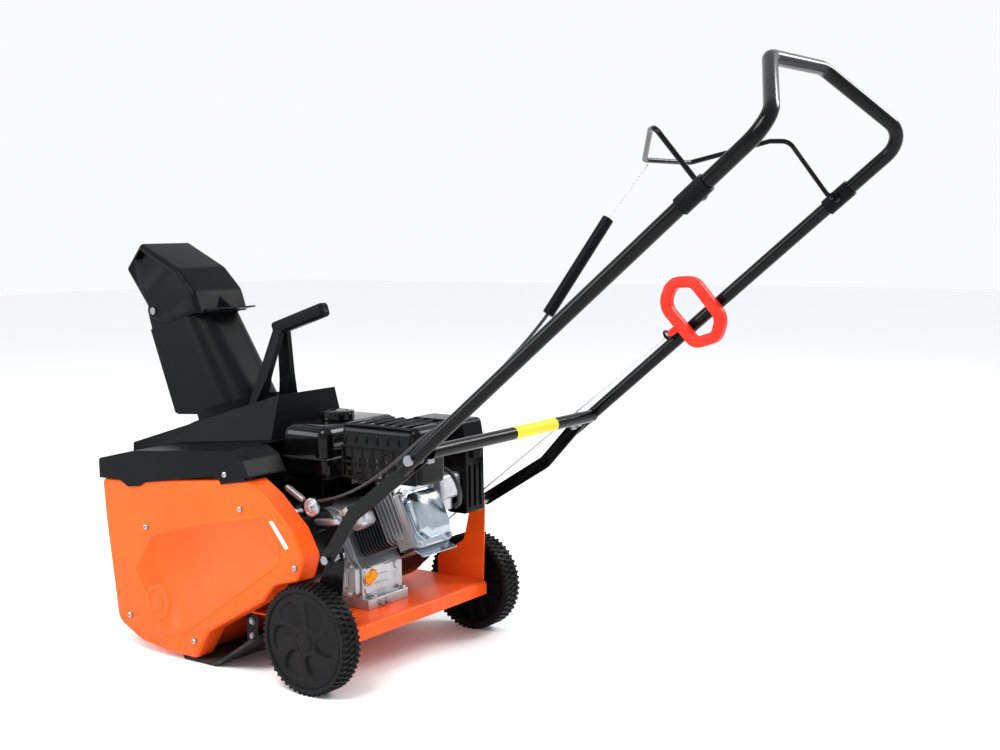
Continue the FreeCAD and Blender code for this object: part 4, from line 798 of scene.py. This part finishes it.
@dataclass
class Wheels:
    """Two moulded wheels with a lugged tread and six scooped pockets in each face.

    Args:
        shop: Makes the pieces.
        pockets: Scooped pockets in each outer face.
        lugs: Lugs round each row of the tread.
        tread_depth: Depth of the tread in millimetres, like the sizes below.
        rib_half: Half the thickness of the inner face's ribs.
        pocket_depth: Depth of a pocket at its deepest.
        pocket_middle: A pocket's distance from the hub.
        pocket_reach: Half a pocket's radial length.
    """

    shop: Shop
    pockets: int = 6
    lugs: int = 54
    tread_depth: float = 4.2
    rib_half: float = 1.6
    pocket_depth: float = 5.5
    pocket_middle: float = 48.5
    pocket_reach: float = 23.5

    def build(self) -> None:
        """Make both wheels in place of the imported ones."""
        for node, body in (("left_wheel", Body.LEFT_WHEEL), ("right_wheel", Body.RIGHT_WHEEL)):
            low, high = self.shop.span(node)
            side = 1.0 if low[0] + high[0] > 0 else -1.0
            patch = self._surface((low + high) / 2, (high - low) / 2, side)
            piece = self.shop.grids(node + "_skin", body, Finish.TYRE, node, [patch], 30.0)
            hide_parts(node)

    def _surface(self, centre: np.ndarray, half: np.ndarray, side: float) -> Patch:
        """The whole wheel as rings from the inner bore over the tread to the hub cap."""
        width, radius = half[0], half[1]
        phase = np.array((0.0, 0.05, 0.44, 0.5, 0.55, 0.94))
        angle = (np.arange(self.lugs)[:, None] + phase[None, :]).ravel() * 2 * np.pi / self.lugs
        beat = np.tile(phase, self.lugs)
        rings: list[tuple[np.ndarray, np.ndarray]] = []
        ones = np.ones_like(angle)

        def ring(reach: np.ndarray | float, distance: np.ndarray | float) -> None:
            rings.append((reach * ones, distance * ones))

        # Ribbed inner face and its rim.
        ribs = np.abs((angle / (2 * np.pi) * 12 + 0.5) % 1.0 - 0.5) * 2 * np.pi / 12
        for distance in np.concatenate(([8.0, 20.0, 20.5], np.linspace(24, 78, 10))):
            raised = (ribs * distance < self.rib_half) | (distance < 20.2)
            ring(np.where(raised, -width + 5.0, -width + 24.0), distance)
        for reach, distance in ((-width + 2.5, 80.5), (-width + 0.4, 82.0), (-width, 84.0)):
            ring(reach, distance)
        # Tread: three rows of lugs, the middle one staggered, with a groove between rows.
        root = radius - self.tread_depth
        ring(-width, root - 1.0)
        first = (beat > 0.01) & (beat < 0.49)
        second = (beat > 0.51)
        for reach, row in ((-width + 0.3, first), (-width + 1.0, first), (-7.8, first), (-7.2, first),
                           (-6.4, second), (-5.8, second), (5.8, second), (6.4, second),
                           (7.2, first), (7.8, first), (width - 1.0, first), (width - 0.3, first)):
            ends = reach in (-width + 0.3, -7.2, -6.4, 6.4, 7.2, width - 0.3)
            peak = root + 0.4 if ends else radius
            ring(reach, np.where(row, peak, root))
        # Outer rim, pocketed face and hub cap.
        for reach, distance in ((width, root - 1.0), (width, 85.5), (width - 0.8, 84.0), (width - 3.4, 83.2),
                                (width - 3.6, 82.0), (width - 2.2, 81.0)):
            ring(reach, distance)
        for distance in np.concatenate((np.linspace(78, 24, 46), [22.6, 22.0, 20.6, 20.0])):
            ring(width - 2.2 - self._pocket(angle, distance), distance)
        for reach, distance in ((width - 1.0, 19.6), (width - 0.5, 18.0), (width - 0.5, 17.2),
                                (width - 1.4, 16.8), (width - 1.4, 15.6), (width - 0.4, 15.0),
                                (width, 12.0), (width, 0.0)):
            ring(reach, distance)
        rows = [np.stack([centre[0] + side * reach, centre[1] + distance * np.cos(angle),
                          centre[2] + distance * np.sin(angle)], axis=1) for reach, distance in rings]
        return np.stack(rows), False, True

    def _pocket(self, angle: np.ndarray, distance: float) -> np.ndarray:
        """Depth of the scooped pockets: a soft-edged oval in polar terms, deeper on one flank."""
        pitch = 2 * np.pi / self.pockets
        sweep = (distance - 50.0) / 50.0 * 0.32
        turn = (angle - sweep + pitch / 2) % pitch - pitch / 2
        off_middle = np.abs(distance - self.pocket_middle) / self.pocket_reach
        oval = off_middle ** 3.2 + (np.abs(turn) / 0.4) ** 3.2
        edge = np.clip((1.0 - oval) / 0.3, 0.0, 1.0)
        flank = 0.28 + 0.72 * np.clip(0.5 - turn / 0.8, 0.0, 1.0)
        return self.pocket_depth * edge * edge * (3 - 2 * edge) * flank


@dataclass
class SideCover:
    """Embossed panel, plain round boss and reflective strip on the orange side cover."""

    shop: Shop

    def build(self) -> None:
        """Make the raised work on the cover's flat face."""
        face = self.shop.span("belt_cover")[1][0] - 0.15
        panel = rounded_loop([(-398, 234), (-258, 270), (-103, 300), (-60, 240), (-66, 214), (-304, 58),
                              (-367, 37), (-453, 156)], 16.0)
        outer = mound(panel, [(0, 0), (1.5, 0.55), (3.0, 0.9), (4.4, 0.9), (6.0, 0.5), (8.0, 0.16)],
                      (face, 0, 0), FACE_X)
        middle = sum(self.shop.span("auger_pulley")) / 2
        boss = lathe((face, middle[1], middle[2]), (1, 0, 0),
                     [(0, 34), (1.1, 32.5), (1.8, 30.5), (1.8, 26), (1.0, 24.2), (0.4, 23), (0.4, 15),
                      (1.0, 13.4), (1.6, 12), (1.6, 0)], 64)
        self.shop.grids("cover_embossing", Body.CHASSIS, Finish.ORANGE, "belt_cover", [outer, boss], 30.0)
        strip = rounded_loop([(-88, 290), (-78, 291), (-42, 248), (-50, 244)], 2.0)
        mark = mound(strip, [(0, 0), (0.3, 0.5), (0.8, 0.6)], (face + 0.05, 0, 0), FACE_X)
        self.shop.grids("cover_reflector", Body.CHASSIS, Finish.WHITE, "belt_cover", [mark], 30.0)


@dataclass
class ValveCover:
    """Pressed cover over the valves: a pillow-shaped dome on an eared flange.

    Args:
        shop: Makes the pieces.
        seat: Height of the flange along the cylinder, from the crankshaft.
        drop: Shift of the cover across the cylinder.
        offset: The cylinder's place across the machine.
        lean: The cylinder's lean in degrees.
    """

    shop: Shop
    seat: float = 197.0
    drop: float = 17.0
    offset: float = 19.0
    lean: float = 25.0

    PILLOW: ClassVar[tuple[tuple[float, float], ...]] = (
        (0.94, 2.2), (0.88, 4.2), (0.8, 6.0), (0.7, 7.1), (0.55, 7.7), (0.4, 7.9), (0.25, 8.0), (0.1, 8.0),
        (0.02, 8.0))

    def frame(self) -> tuple[np.ndarray, np.ndarray]:
        """The cylinder's origin on the crankshaft axis and its directions."""
        axis = sum(self.shop.span("engine_pulley")) / 2
        tilt = math.radians(self.lean)
        basis = np.array(((1, 0, 0), (0, math.sin(tilt), -math.cos(tilt)),
                          (0, math.cos(tilt), math.sin(tilt))))
        return np.array((self.offset, axis[1], axis[2])), basis

    def build(self) -> None:
        """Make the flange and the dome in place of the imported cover."""
        origin, basis = self.frame()
        lift = origin + basis[2] * self.seat
        ears = rounded_loop([(-49, self.drop - 53), (-30, self.drop - 53), (-20, self.drop - 49),
                             (20, self.drop - 49), (30, self.drop - 53), (49, self.drop - 53),
                             (49, self.drop + 53), (30, self.drop + 53), (20, self.drop + 49),
                             (-20, self.drop + 49), (-30, self.drop + 53), (-49, self.drop + 53)], 9.0)
        flange = mound(ears, [(0, 0), (0, 2.4), (0.8, 3.2), (3.4, 3.2)], lift, basis)
        dome = rounded_loop([(-41, self.drop - 34), (-31, self.drop - 44), (26, self.drop - 44),
                             (41, self.drop - 30), (41, self.drop + 26), (26, self.drop + 44),
                             (-31, self.drop + 44), (-41, self.drop + 32)], 9.0)
        wall, _, _ = mound(dome, [(-2.4, 3.0), (-1.0, 3.3), (0, 4.4), (0.5, 8.0), (1.0, 14.0), (2.2, 17.0),
                                  (4.2, 18.8)], lift, basis)
        centre = wall[-1].mean(axis=0)
        pillow = [centre + (wall[-1] - centre) * share + basis[2] * rise for share, rise in self.PILLOW]
        body = (np.concatenate([wall, np.stack(pillow)]), False, True)
        cover = self.shop.grids("valve_cover_skin", Body.CHASSIS, Finish.ZINC, "valve_cover",
                                [flange, body], 32.0)
        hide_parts("valve_cover")


@dataclass
class EngineTop:
    """Ribs of the muffler guard and grips of the fuel cap."""

    shop: Shop

    def build(self) -> None:
        """Make the guard's ribs and the cap's grips."""
        self._guard()
        self._cap()

    def _guard(self) -> None:
        """A dome of curved ribs over the muffler and a grid of bars below it."""
        low, high = self.shop.span("muffler_guard")
        mid_x, mid_y = (low[0] + high[0]) / 2, (low[1] + high[1]) / 2
        half_x, half_y = (high[0] - low[0]) / 2 - 0.6, (high[1] - low[1]) / 2 - 0.6
        shelf = low[2] + 66.0
        top = high[2] - 1.0
        patches: list[Patch] = []
        for y in np.linspace(-half_y + 13.0, half_y - 13.0, 7):
            turn = np.linspace(0.0, np.pi / 2, 9)
            sag = 1 - 0.12 * (y / half_y) ** 4
            outer = np.stack([mid_x + half_x * np.sin(np.pi / 2 - turn) ** 0.55,
                              np.full(9, mid_y) + y * (1 - 0.10 * np.sin(turn)),
                              shelf + (top - shelf) * sag * np.sin(turn) ** 0.8], axis=1)
            inner_end = outer[-1] - np.array((half_x * 1.35, 0, 0))
            path = np.vstack([outer, np.linspace(outer[-1], inner_end, 4)[1:]])
            patches.append(tube(path, 3.1, 10))
        for share, drop in ((0.42, 0.35), (0.97, 0.02), (0.60, 0.12)):
            ring_x = mid_x + half_x * share
            z = top - (top - shelf) * drop
            patches.append(tube([(ring_x, mid_y + y, z - 3.0 * (y / half_y) ** 4)
                                 for y in np.linspace(-half_y + 11, half_y - 11, 9)], 2.7, 10))
        patches.append(slab((mid_x, mid_y, shelf - 1.0), (half_x + 0.4, half_y + 0.4, 3.6)))
        face = high[0] - 1.6
        for z in (low[2] + 3.5, low[2] + 31.0, low[2] + 58.0):
            patches.append(slab((face, mid_y, z), (2.2, half_y - 3.0, 2.6), 10))
        for y in np.linspace(-half_y + 5.0, half_y - 5.0, 8):
            patches.append(slab((face, mid_y + y, low[2] + 31.0), (2.3, 2.5, 30.0), 10))
        hole = (face - 2.0, mid_y + 22.0, low[2] + 38.0)
        patches.append(lathe(hole, (1, 0, 0), [(0, 11), (0, 15.5), (3.5, 15.5), (4.4, 14.6), (4.4, 11.8),
                                               (3.5, 11), (0, 11)], 40))
        self.shop.grids("muffler_guard_ribs", Body.CHASSIS, Finish.ENGINE_BLACK, "muffler_guard", patches,
                        35.0)

    def _cap(self) -> None:
        """Rounded grips round the cap and a raised ring on its top."""
        low, high = self.shop.span("fuel_cap")
        middle, radius = (low + high) / 2, (high[0] - low[0]) / 2
        patches: list[Patch] = []
        for angle in np.linspace(0, 2 * np.pi, 22, endpoint=False):
            out = np.array((math.cos(angle), math.sin(angle), 0.0))
            frame = np.array((out, (-out[1], out[0], 0.0), (0, 0, 1)))
            patches.append(rounded_box(middle + out * (radius - 1.0) + np.array((0, 0, 0.6)),
                                       (0.95, 2.4, (high[2] - low[2]) / 2 - 2.2), frame, 0.5, 8))
        top = (middle[0], middle[1], high[2] - 1.0)
        ring = [(0, 21), (0.7, 20.5), (0.9, 19.5), (0.9, 17.5), (0.2, 16.5)]
        patches.append(lathe(top, (0, 0, 1), ring, 48))
        grip = rounded_box((middle[0], middle[1], high[2] - 0.9), (12.0, 2.6, 0.85), square=0.4, steps=12)
        patches.append(grip)
        self.shop.grids("fuel_cap_grips", Body.FUEL_CAP, Finish.ENGINE_BLACK, "fuel_cap", patches, 35.0)


@dataclass
class EngineSide:
    """Tensioner disc, brackets and cast bosses on the engine's open side."""

    shop: Shop

    def build(self) -> None:
        """Make the bright fittings and the cast work round them."""
        self._disc()
        self._casting()

    def _disc(self) -> None:
        """Ringed disc on a short aluminium arm, with its centre bolt, and a clip beside it."""
        high = self.shop.span("belt_guard")[1]
        centre = np.array((high[0] - 7.0, high[1] + 3.0, high[2] + 13.0))
        ring = lathe(centre, (1, 0, 0), [(0, 0.5), (0, 16.5), (5, 16.5), (6, 15.6), (6, 12.6), (4.8, 12.0),
                                         (4.8, 10.4), (5.6, 9.8), (5.6, 7.0), (5.0, 6.4), (5.0, 0)], 48)
        self.shop.grids("tensioner_disc", Body.CHASSIS, Finish.STEEL, "engine_bolts",
                        [ring] + bolt(centre + (5.2, 0, 0), (1, 0, 0), 4.6, 5.0), 30.0)
        post = lathe(centre - (46, 0, 0), (1, 0, 0), [(0, 6), (42, 6), (43.5, 14.0), (45.5, 18.0),
                                                     (46, 17.6), (46, 0)], 36)
        self.shop.grids("tensioner_boss", Body.CHASSIS, Finish.ENGINE_BLACK, "belt_guard", [post], 32.0)
        arm = rounded_box(centre + (-14, -56, 16), (5, 24, 5.0), self._lean(-0.45), 0.4)
        stay = rounded_box(centre + (-29, 4, -31), (6, 30, 6.5), self._lean(0.12), 0.5)
        lug = lathe(centre + (-29, -60, -22), (1, 0, 0), [(0, 10), (14, 10), (15.5, 8.6), (15.5, 0)], 28)
        port = rounded_box(centre + (-73, 47, -31), (20, 19, 14), self._lean(0.5), 0.5)
        self.shop.grids("tensioner_arm", Body.CHASSIS, Finish.CAST, "crankcase_cover",
                        [arm, stay, lug, port], 32.0)
        clip = rounded_box(centre + (-33, 49, -8), (7, 8, 6.5), self._lean(0.5), 0.16)
        self.shop.grids("cable_clip", Body.CHASSIS, Finish.STEEL, "engine_bolts", [clip], 32.0)

    @staticmethod
    def _lean(angle: float) -> np.ndarray:
        """Directions turned about X."""
        cosine, sine = math.cos(angle), math.sin(angle)
        return np.array(((1, 0, 0), (0, cosine, sine), (0, -sine, cosine)))

    def _casting(self) -> None:
        """Round bosses under the cover's bolts and raised webs between them."""
        low, high = self.shop.span("crankcase")
        rear = high[1] - 14.6
        patches: list[Patch] = []
        for x, z, radius in ((high[0] - 14, high[2] - 116.0, 9.0), (low[0] + 16, high[2] - 116.0, 8.0),
                             (high[0] - 14, low[2] + 34.0, 9.0)):
            profile = [(0, radius + 2), (2.4, radius + 1.2), (4.5, radius), (5.5, radius - 0.8), (5.5, 0)]
            patches.append(lathe((x, rear - 2, z), (0, 1, 0), profile, 32))
        patches.append(lathe(((low[0] + high[0]) / 2 + 36.5, rear - 2, 162.0), (0, 1, 0),
                             [(0, 19), (2.5, 18), (4.2, 17), (4.2, 14), (3.2, 13.4), (3.2, 0)], 40))
        for z in np.linspace(low[2] + 26, low[2] + 56, 3):
            patches.append(rounded_box((high[0] - 40, rear, z), (30, 2.2, 1.6), square=0.3, steps=10))
        self.shop.grids("crankcase_bosses", Body.CHASSIS, Finish.CAST, "crankcase", patches, 32.0)


@dataclass
class Screws:
    """Button heads over the side cover's screws, each with a darker hexagon that paints the shade of its
    six-sided recess.
    """

    shop: Shop

    def build(self) -> None:
        """Find each packed head and add a domed head over it, with a darker hexagon on top as painted shade
        for its recess.
        """
        heads = self.shop.frame["nodes"]["cover_screws"].data
        points = np.array([tuple(vertex.co) for vertex in heads.vertices]) / MM
        points = points - (0, self.shop.datum_y, 0)
        outer = points[points[:, 0] > points[:, 0].max() - 12.0]
        centres: list[np.ndarray] = []
        for point in outer:
            if all(np.linalg.norm(point[1:] - centre[1:]) > 14.0 for centre in centres):
                near = outer[np.linalg.norm(outer[:, 1:] - point[1:], axis=1) < 14.0]
                centres.append(np.array((near[:, 0].max(), (near[:, 1].min() + near[:, 1].max()) / 2,
                                         (near[:, 2].min() + near[:, 2].max()) / 2)))
        domes, socket_shades = [], []
        for centre in centres:
            domes.append(lathe(centre - (0.6, 0, 0), (1, 0, 0), [(0, 5.4), (0.9, 5.2), (1.7, 4.3),
                                                               (2.1, 2.9), (2.1, 0)], 28))
            # A darker hexagon on the dome's top: painted shade in place of the hollow socket.
            socket_shades.append(lathe(centre + (1.2, 0, 0), (1, 0, 0), [(0, 2.2), (0.5, 2.2), (0.5, 0)], 6))
        self.shop.grids("screw_heads", Body.CHASSIS, Finish.STEEL, "cover_screws", domes, 40.0)
        # The hexagons take grey iron, darker than the heads: painted shade of the sockets.
        self.shop.grids("screw_socket_painted_shade", Body.CHASSIS, Finish.IRON, "cover_screws", socket_shades, 40.0)


@dataclass
class CoverShadeSheet:
    """Black sheet that hangs from the top cover over the housing's back, painted shade for the shadow there.
    """

    shop: Shop

    def build(self) -> None:
        """Make the painted-shade sheet between the tank and the side cover."""
        low, high = self.shop.span("top_cover")
        guard_low, guard_high = self.shop.span("belt_guard")
        right, left = low[0] + 6.0, guard_high[0] + 0.5
        back = high[1]
        drop = [(back - 60, low[2] + 46), (back - 54, low[2] + 6), (back - 76, guard_low[2] + 110),
                (back - 92, guard_low[2] + 40)]
        rows = [np.array([(x, y, z) for x in np.linspace(right, left, 9)]) for y, z in drop]
        rows += [row - (0, 3.0, 0) for row in rows[::-1]]
        # This black sheet is painted shade: it stands in for the shadow over the orange housing's back.
        self.shop.grids("cover_shade_sheet", Body.CHASSIS, Finish.ENGINE_BLACK, "top_cover",
                        [(np.stack(rows), True, False)], 30.0)
        shroud = self.shop.span("chute_shroud")[1]
        closing = slab((0, shroud[1] - 6.0, low[2] + 52.0), (shroud[0] - 8.0, 3.0, 29.0), 12)
        self.shop.grids("shroud_closing_panel", Body.CHASSIS, Finish.CHARCOAL, "chute_shroud", [closing],
                        30.0)


@dataclass
class Intake:
    """Band, latch and ribs of the air box, and the hose beside it."""

    shop: Shop

    def build(self) -> None:
        """Make the trim and the breather hose."""
        low, high = self.shop.span("air_box")
        middle = (low + high) / 2
        patches = [rounded_box((middle[0], middle[1], high[2] - 5.5), (29.2, 71.2, 4.0), square=0.14,
                               steps=12)]
        for y in (middle[1] + 18, middle[1] + 52):
            patches.append(slab((high[0] + 1.0, y, high[2] - 6), (4.0, 9.0, 12.0), 12))
            patches.append(slab((high[0] + 4.2, y, high[2] - 9), (1.8, 5.0, 7.0), 10))
        for x in (low[0] + 12, low[0] + 28, low[0] + 44):
            patches.append(slab((x, high[1] + 0.8, middle[2] - 14), (1.6, 2.0, 40.0), 10))
        patches.append(slab((middle[0], high[1] + 2.2, high[2] - 12), (13.0, 4.0, 15.0), 12))
        patches.append(rounded_box((middle[0], high[1] + 4.6, high[2] - 20), (8.0, 3.0, 4.0), square=0.3,
                                   steps=10))
        self.shop.grids("air_box_trim", Body.CHASSIS, Finish.ENGINE_BLACK, "air_box", patches, 32.0)
        hose = np.array(((-24, 70, 352), (-22, 96, 358), (-20, 118, 346), (-22, 128, 322), (-26, 124, 300),
                         (-30, 112, 290)), dtype=float)
        self.shop.grids("breather_hose", Body.CHASSIS, Finish.CORD, "spark_lead",
                        [tube(self._ease(hose), 4.2, 14)], 50.0)
        clamp = lathe((-24, 70, 351), (0, 1, 0.2), [(0, 5.2), (5, 5.2)], 20)
        self.shop.grids("hose_clamp", Body.CHASSIS, Finish.STEEL, "engine_bolts", [clamp], 30.0)

    @staticmethod
    def _ease(points: np.ndarray) -> np.ndarray:
        """A smooth line through points: cubic blending of each point with its neighbours."""
        rows = []
        padded = np.vstack([2 * points[0] - points[1], points, 2 * points[-1] - points[-2]])
        for a, b, c, d in zip(padded, padded[1:], padded[2:], padded[3:]):
            for t in np.linspace(0, 1, 8, endpoint=False):
                rows.append(0.5 * (2 * b + (c - a) * t + (2 * a - 5 * b + 4 * c - d) * t ** 2
                                   + (3 * b - a - 3 * c + d) * t ** 3))
        return np.array(rows + [points[-1]])


@dataclass
class OilPlug:
    """Amber filler plug with a two-lobed wing."""

    shop: Shop

    def build(self) -> None:
        """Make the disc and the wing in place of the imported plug."""
        low, high = self.shop.span("oil_plug")
        x, z = (low[0] + high[0]) / 2, (low[2] + high[2]) / 2
        base = low[1]
        cosine, sine = math.cos(-0.5), math.sin(-0.5)
        frame = np.array(((cosine, 0, sine), (0, 1, 0), (-sine, 0, cosine)))
        patches = [lathe((x, base, z), (0, 1, 0), [(0, 13), (3.0, 13), (3.8, 12), (3.8, 0)], 36)]
        for reach, half, tall in ((-7.5, 9.5, 9.5), (7.5, 8.0, 7.0)):
            patches.append(rounded_box(np.array((x, base + 4.6, z)) + frame[0] * reach, (half, 3.6, tall),
                                       frame, 0.75, 16))
        plug = self.shop.grids("oil_plug_skin", Body.OIL_PLUG, Finish.AMBER, "oil_plug", patches, 40.0)
        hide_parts("oil_plug")


@dataclass
class Labels:
    """Blank band where the machine carries a printed one."""

    shop: Shop

    def build(self) -> None:
        """Make a plain band round the brace bar."""
        low, high = self.shop.span("handle_brace")
        middle = (low + high) / 2
        radius = (high[2] - low[2]) / 2
        band = lathe((-110.0, middle[1], middle[2]), (1, 0, 0), [(0, radius), (0, radius + 0.15),
                                                               (125, radius + 0.15), (125, radius)], 40)
        self.shop.grids("brace_label", Body.HANDLE, Finish.YELLOW, "handle_brace", [band], 60.0)


@dataclass
class Cords:
    """Control cable, starter rope and spark lead on their routed centre lines.

    Routes are in metres from the axle, as the model's source lists them.
    """

    shop: Shop

    CABLE: ClassVar[Route] = (
        (0.166, -0.1, 0.2984), (0.172, -0.076, 0.311), (0.184, -0.026, 0.322), (0.2, 0.04, 0.338),
        (0.208, 0.11, 0.368), (0.212, 0.178, 0.412), (0.22, 0.24, 0.458), (0.226, 0.296, 0.49),
        (0.226, 0.35, 0.53), (0.216, 0.41, 0.588), (0.195, 0.459, 0.648), (0.183, 0.4685, 0.6702))
    WIRE: ClassVar[Route] = ((0.1135, 0.523, 0.7985), (0.112, 0.524, 0.801), (0.0587, 0.5605, 0.8792))
    ROPE: ClassVar[Route] = ((-0.139, -0.0714, 0.1718), (-0.142, -0.0548, 0.1857), (-0.2309, 0.4386, 0.5978))
    TAIL: ClassVar[Route] = ((-0.2312, 0.4359, 0.5961), (-0.2307, 0.4392, 0.5983), (-0.2303, 0.4426, 0.6005))
    LEAD: ClassVar[Route] = ((0.019, 0.0275, 0.391), (0.017, 0.0395, 0.403), (0.001, 0.0495, 0.393),
                             (-0.017, 0.0495, 0.365), (-0.029, 0.0355, 0.333), (-0.037, 0.0135, 0.307))

    def build(self) -> None:
        """Make the cords."""
        cable = self._cord("control_cable_line", self.CABLE, 0.0026, Finish.CORD, "control_cable")
        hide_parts("control_cable")
        self._join(cable[0])
        wire = self._cord("control_wire", self.WIRE, 0.0009, Finish.STEEL, "control_cable")
        self._join(wire[0])
        rope = self._cord("starter_rope_line", self.ROPE, 0.0019, Finish.ROPE, "starter_rope")
        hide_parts("starter_rope")
        self._join(rope[0])
        tail = self._cord("starter_rope_tail", self.TAIL, 0.0018, Finish.ROPE, "starter_rope")
        self._join(tail[0])
        lead = self._cord("spark_lead_line", self.LEAD, 0.003, Finish.CORD, "spark_lead")
        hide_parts("spark_lead")
        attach(lead[0], Body.CHASSIS.value)

    def _cord(self, name: str, route: Route, radius: float, finish: Finish,
              slot_of: str) -> tuple[bpy.types.Object, np.ndarray]:
        """A round mesh on a spline through a route.

        Returns:
            The piece, not yet on a body, and the line that it follows in metres.
        """
        data = bpy.data.curves.new(name, "CURVE")
        data.dimensions, data.resolution_u = "3D", 10
        spline = data.splines.new("NURBS")
        spline.points.add(len(route) - 1)
        for point, (x, y, z) in zip(spline.points, route):
            point.co = (x, y + self.shop.datum_y * MM, z, 1.0)
        spline.order_u, spline.use_endpoint_u = 3, True
        holder = bpy.data.objects.new(name + "_guide", data)
        line = np.array([tuple(point.co) for point in bpy.data.meshes.new_from_object(holder).vertices])
        bpy.data.objects.remove(holder)
        shift = np.array((0, self.shop.datum_y, 0))
        round_line = tube(line / MM - shift, radius / MM, 14)
        piece = self.shop.grids(name, None, finish, slot_of, [round_line], 50.0)
        return piece, line

    def _join(self, piece: bpy.types.Object) -> None:
        """Bake a cord's placement into its mesh; the cord rides on no body."""
        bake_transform(piece)


SOFTENED: dict[Body, tuple[tuple[str, Finish, float], ...]] = {
    Body.CHASSIS: (
        ("auger_housing", Finish.ORANGE, 0.0006),
        ("belt_cover", Finish.ORANGE, 0.003),
        ("top_cover", Finish.CHARCOAL, 0.0025),
        ("chute_shroud", Finish.CHARCOAL, 0.0025),
        ("scraper", Finish.BLADE, 0.0006),
        ("scraper_brackets", Finish.BLACK, 0.0005),
        ("auger_bearings", Finish.IRON, 0.0004),
        ("drive_belt", Finish.RUBBER, 0.0005),
        ("engine_deck", Finish.ORANGE, 0.0005),
        ("left_side_frame", Finish.BLACK, 0.0005),
        ("right_side_frame", Finish.ORANGE, 0.0005),
        ("wheel_axle", Finish.STEEL, 0.0005),
        ("crankcase", Finish.CAST, 0.0016),
        ("crankcase_cover", Finish.CAST, 0.0016),
        ("blower_housing", Finish.BLACK, 0.0006),
        ("recoil_housing", Finish.BLACK, 0.0006),
        ("cylinder", Finish.FIN_DARK, 0.0007),
        ("cylinder_head", Finish.CAST, 0.0007),
        ("cylinder_shield", Finish.ZINC, 0.0004),
        ("engine_bolts", Finish.STEEL, 0.0005),
        ("spark_plug", Finish.RUBBER, 0.0006),
        ("muffler", Finish.EXHAUST, 0.0005),
        ("muffler_guard", Finish.BLACK, 0.0005),
        ("carburettor", Finish.CAST, 0.0006),
        ("air_box", Finish.ENGINE_BLACK, 0.002),
        ("air_box_lid", Finish.ENGINE_BLACK, 0.002),
        ("fuel_tank", Finish.TANK, 0.0006),
        ("belt_guard", Finish.BLACK, 0.0015),
        ("left_lower_bar", Finish.TUBE, 0.0014),
        ("right_lower_bar", Finish.TUBE, 0.0014),
        ("handle_bolts", Finish.BOLT, 0.0006),
        ("cover_screws", Finish.BOLT, 0.0005),
    ),
    Body.AUGER: (
        ("auger_shaft", Finish.STEEL, 0.0005),
        ("auger_paddles", Finish.RUBBER, 0.001),
    ),
    Body.CHUTE: (
        ("chute", Finish.CHARCOAL, 0.0012),
        ("chute_handle", Finish.CHARCOAL, 0.0016),
        ("deflector_bolts", Finish.BOLT, 0.0005),
    ),
    Body.DEFLECTOR: (
        ("deflector", Finish.CHARCOAL, 0.0012),
    ),
    Body.HANDLE: (
        ("upper_handle", Finish.TUBE, 0.0),
        ("handle_brace", Finish.TUBE, 0.0004),
        ("bail_sleeves", Finish.CHARCOAL, 0.001),
        ("rope_guide", Finish.BLACK, 0.0),
        ("cable_sleeve", Finish.CHARCOAL, 0.001),
    ),
    Body.BAIL: (
        ("bail", Finish.TUBE, 0.0),
    ),
    Body.PULL: (
        ("pull_handle", Finish.RED, 0.0),
    ),
    Body.FUEL_CAP: (
        ("fuel_cap", Finish.TANK, 0.0008),
    ),
}

PLAIN: tuple[tuple[str, Finish], ...] = (
    ("auger_pulley", Finish.IRON), ("crankshaft", Finish.STEEL), ("flywheel", Finish.IRON),
    ("engine_pulley", Finish.IRON), ("recoil_pulley", Finish.ENGINE_BLACK), ("idler_arm", Finish.STEEL),
    ("idler_pulley", Finish.STEEL), ("spark_lead", Finish.CORD), ("control_cable", Finish.CORD),
    ("starter_rope", Finish.ROPE), ("left_wheel", Finish.TYRE), ("right_wheel", Finish.TYRE),
    ("valve_cover", Finish.ZINC), ("oil_plug", Finish.AMBER),
)


def main() -> None:
    logging.basicConfig(level=logging.INFO, format="%(message)s")
    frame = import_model()
    low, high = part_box("wheel_axle")
    studio = Studio(-(low[1] + high[1]) / 2)
    studio.aim()
    studio.light()
    studio.tone()
    studio.floor()
    shop = Shop(frame, Palette())
    Cords(shop).build()
    for body, rows in SOFTENED.items():
        for node, finish, edge in rows:
            piece = shop.soften(node, body, finish, edge)
            LOG.info("softened %s with %d faces", piece.name, len(piece.data.polygons))
    for node, finish in PLAIN:
        shop.dress(node, finish)
        LOG.info("dressed %s", node)
    for assembly in (Wheels, SideCover, Screws, ValveCover, EngineTop, EngineSide, CoverShadeSheet, Intake,
                     OilPlug, Labels):
        assembly(shop).build()
        LOG.info("built %s", assembly.__name__)


if __name__ == "__main__":
    main()
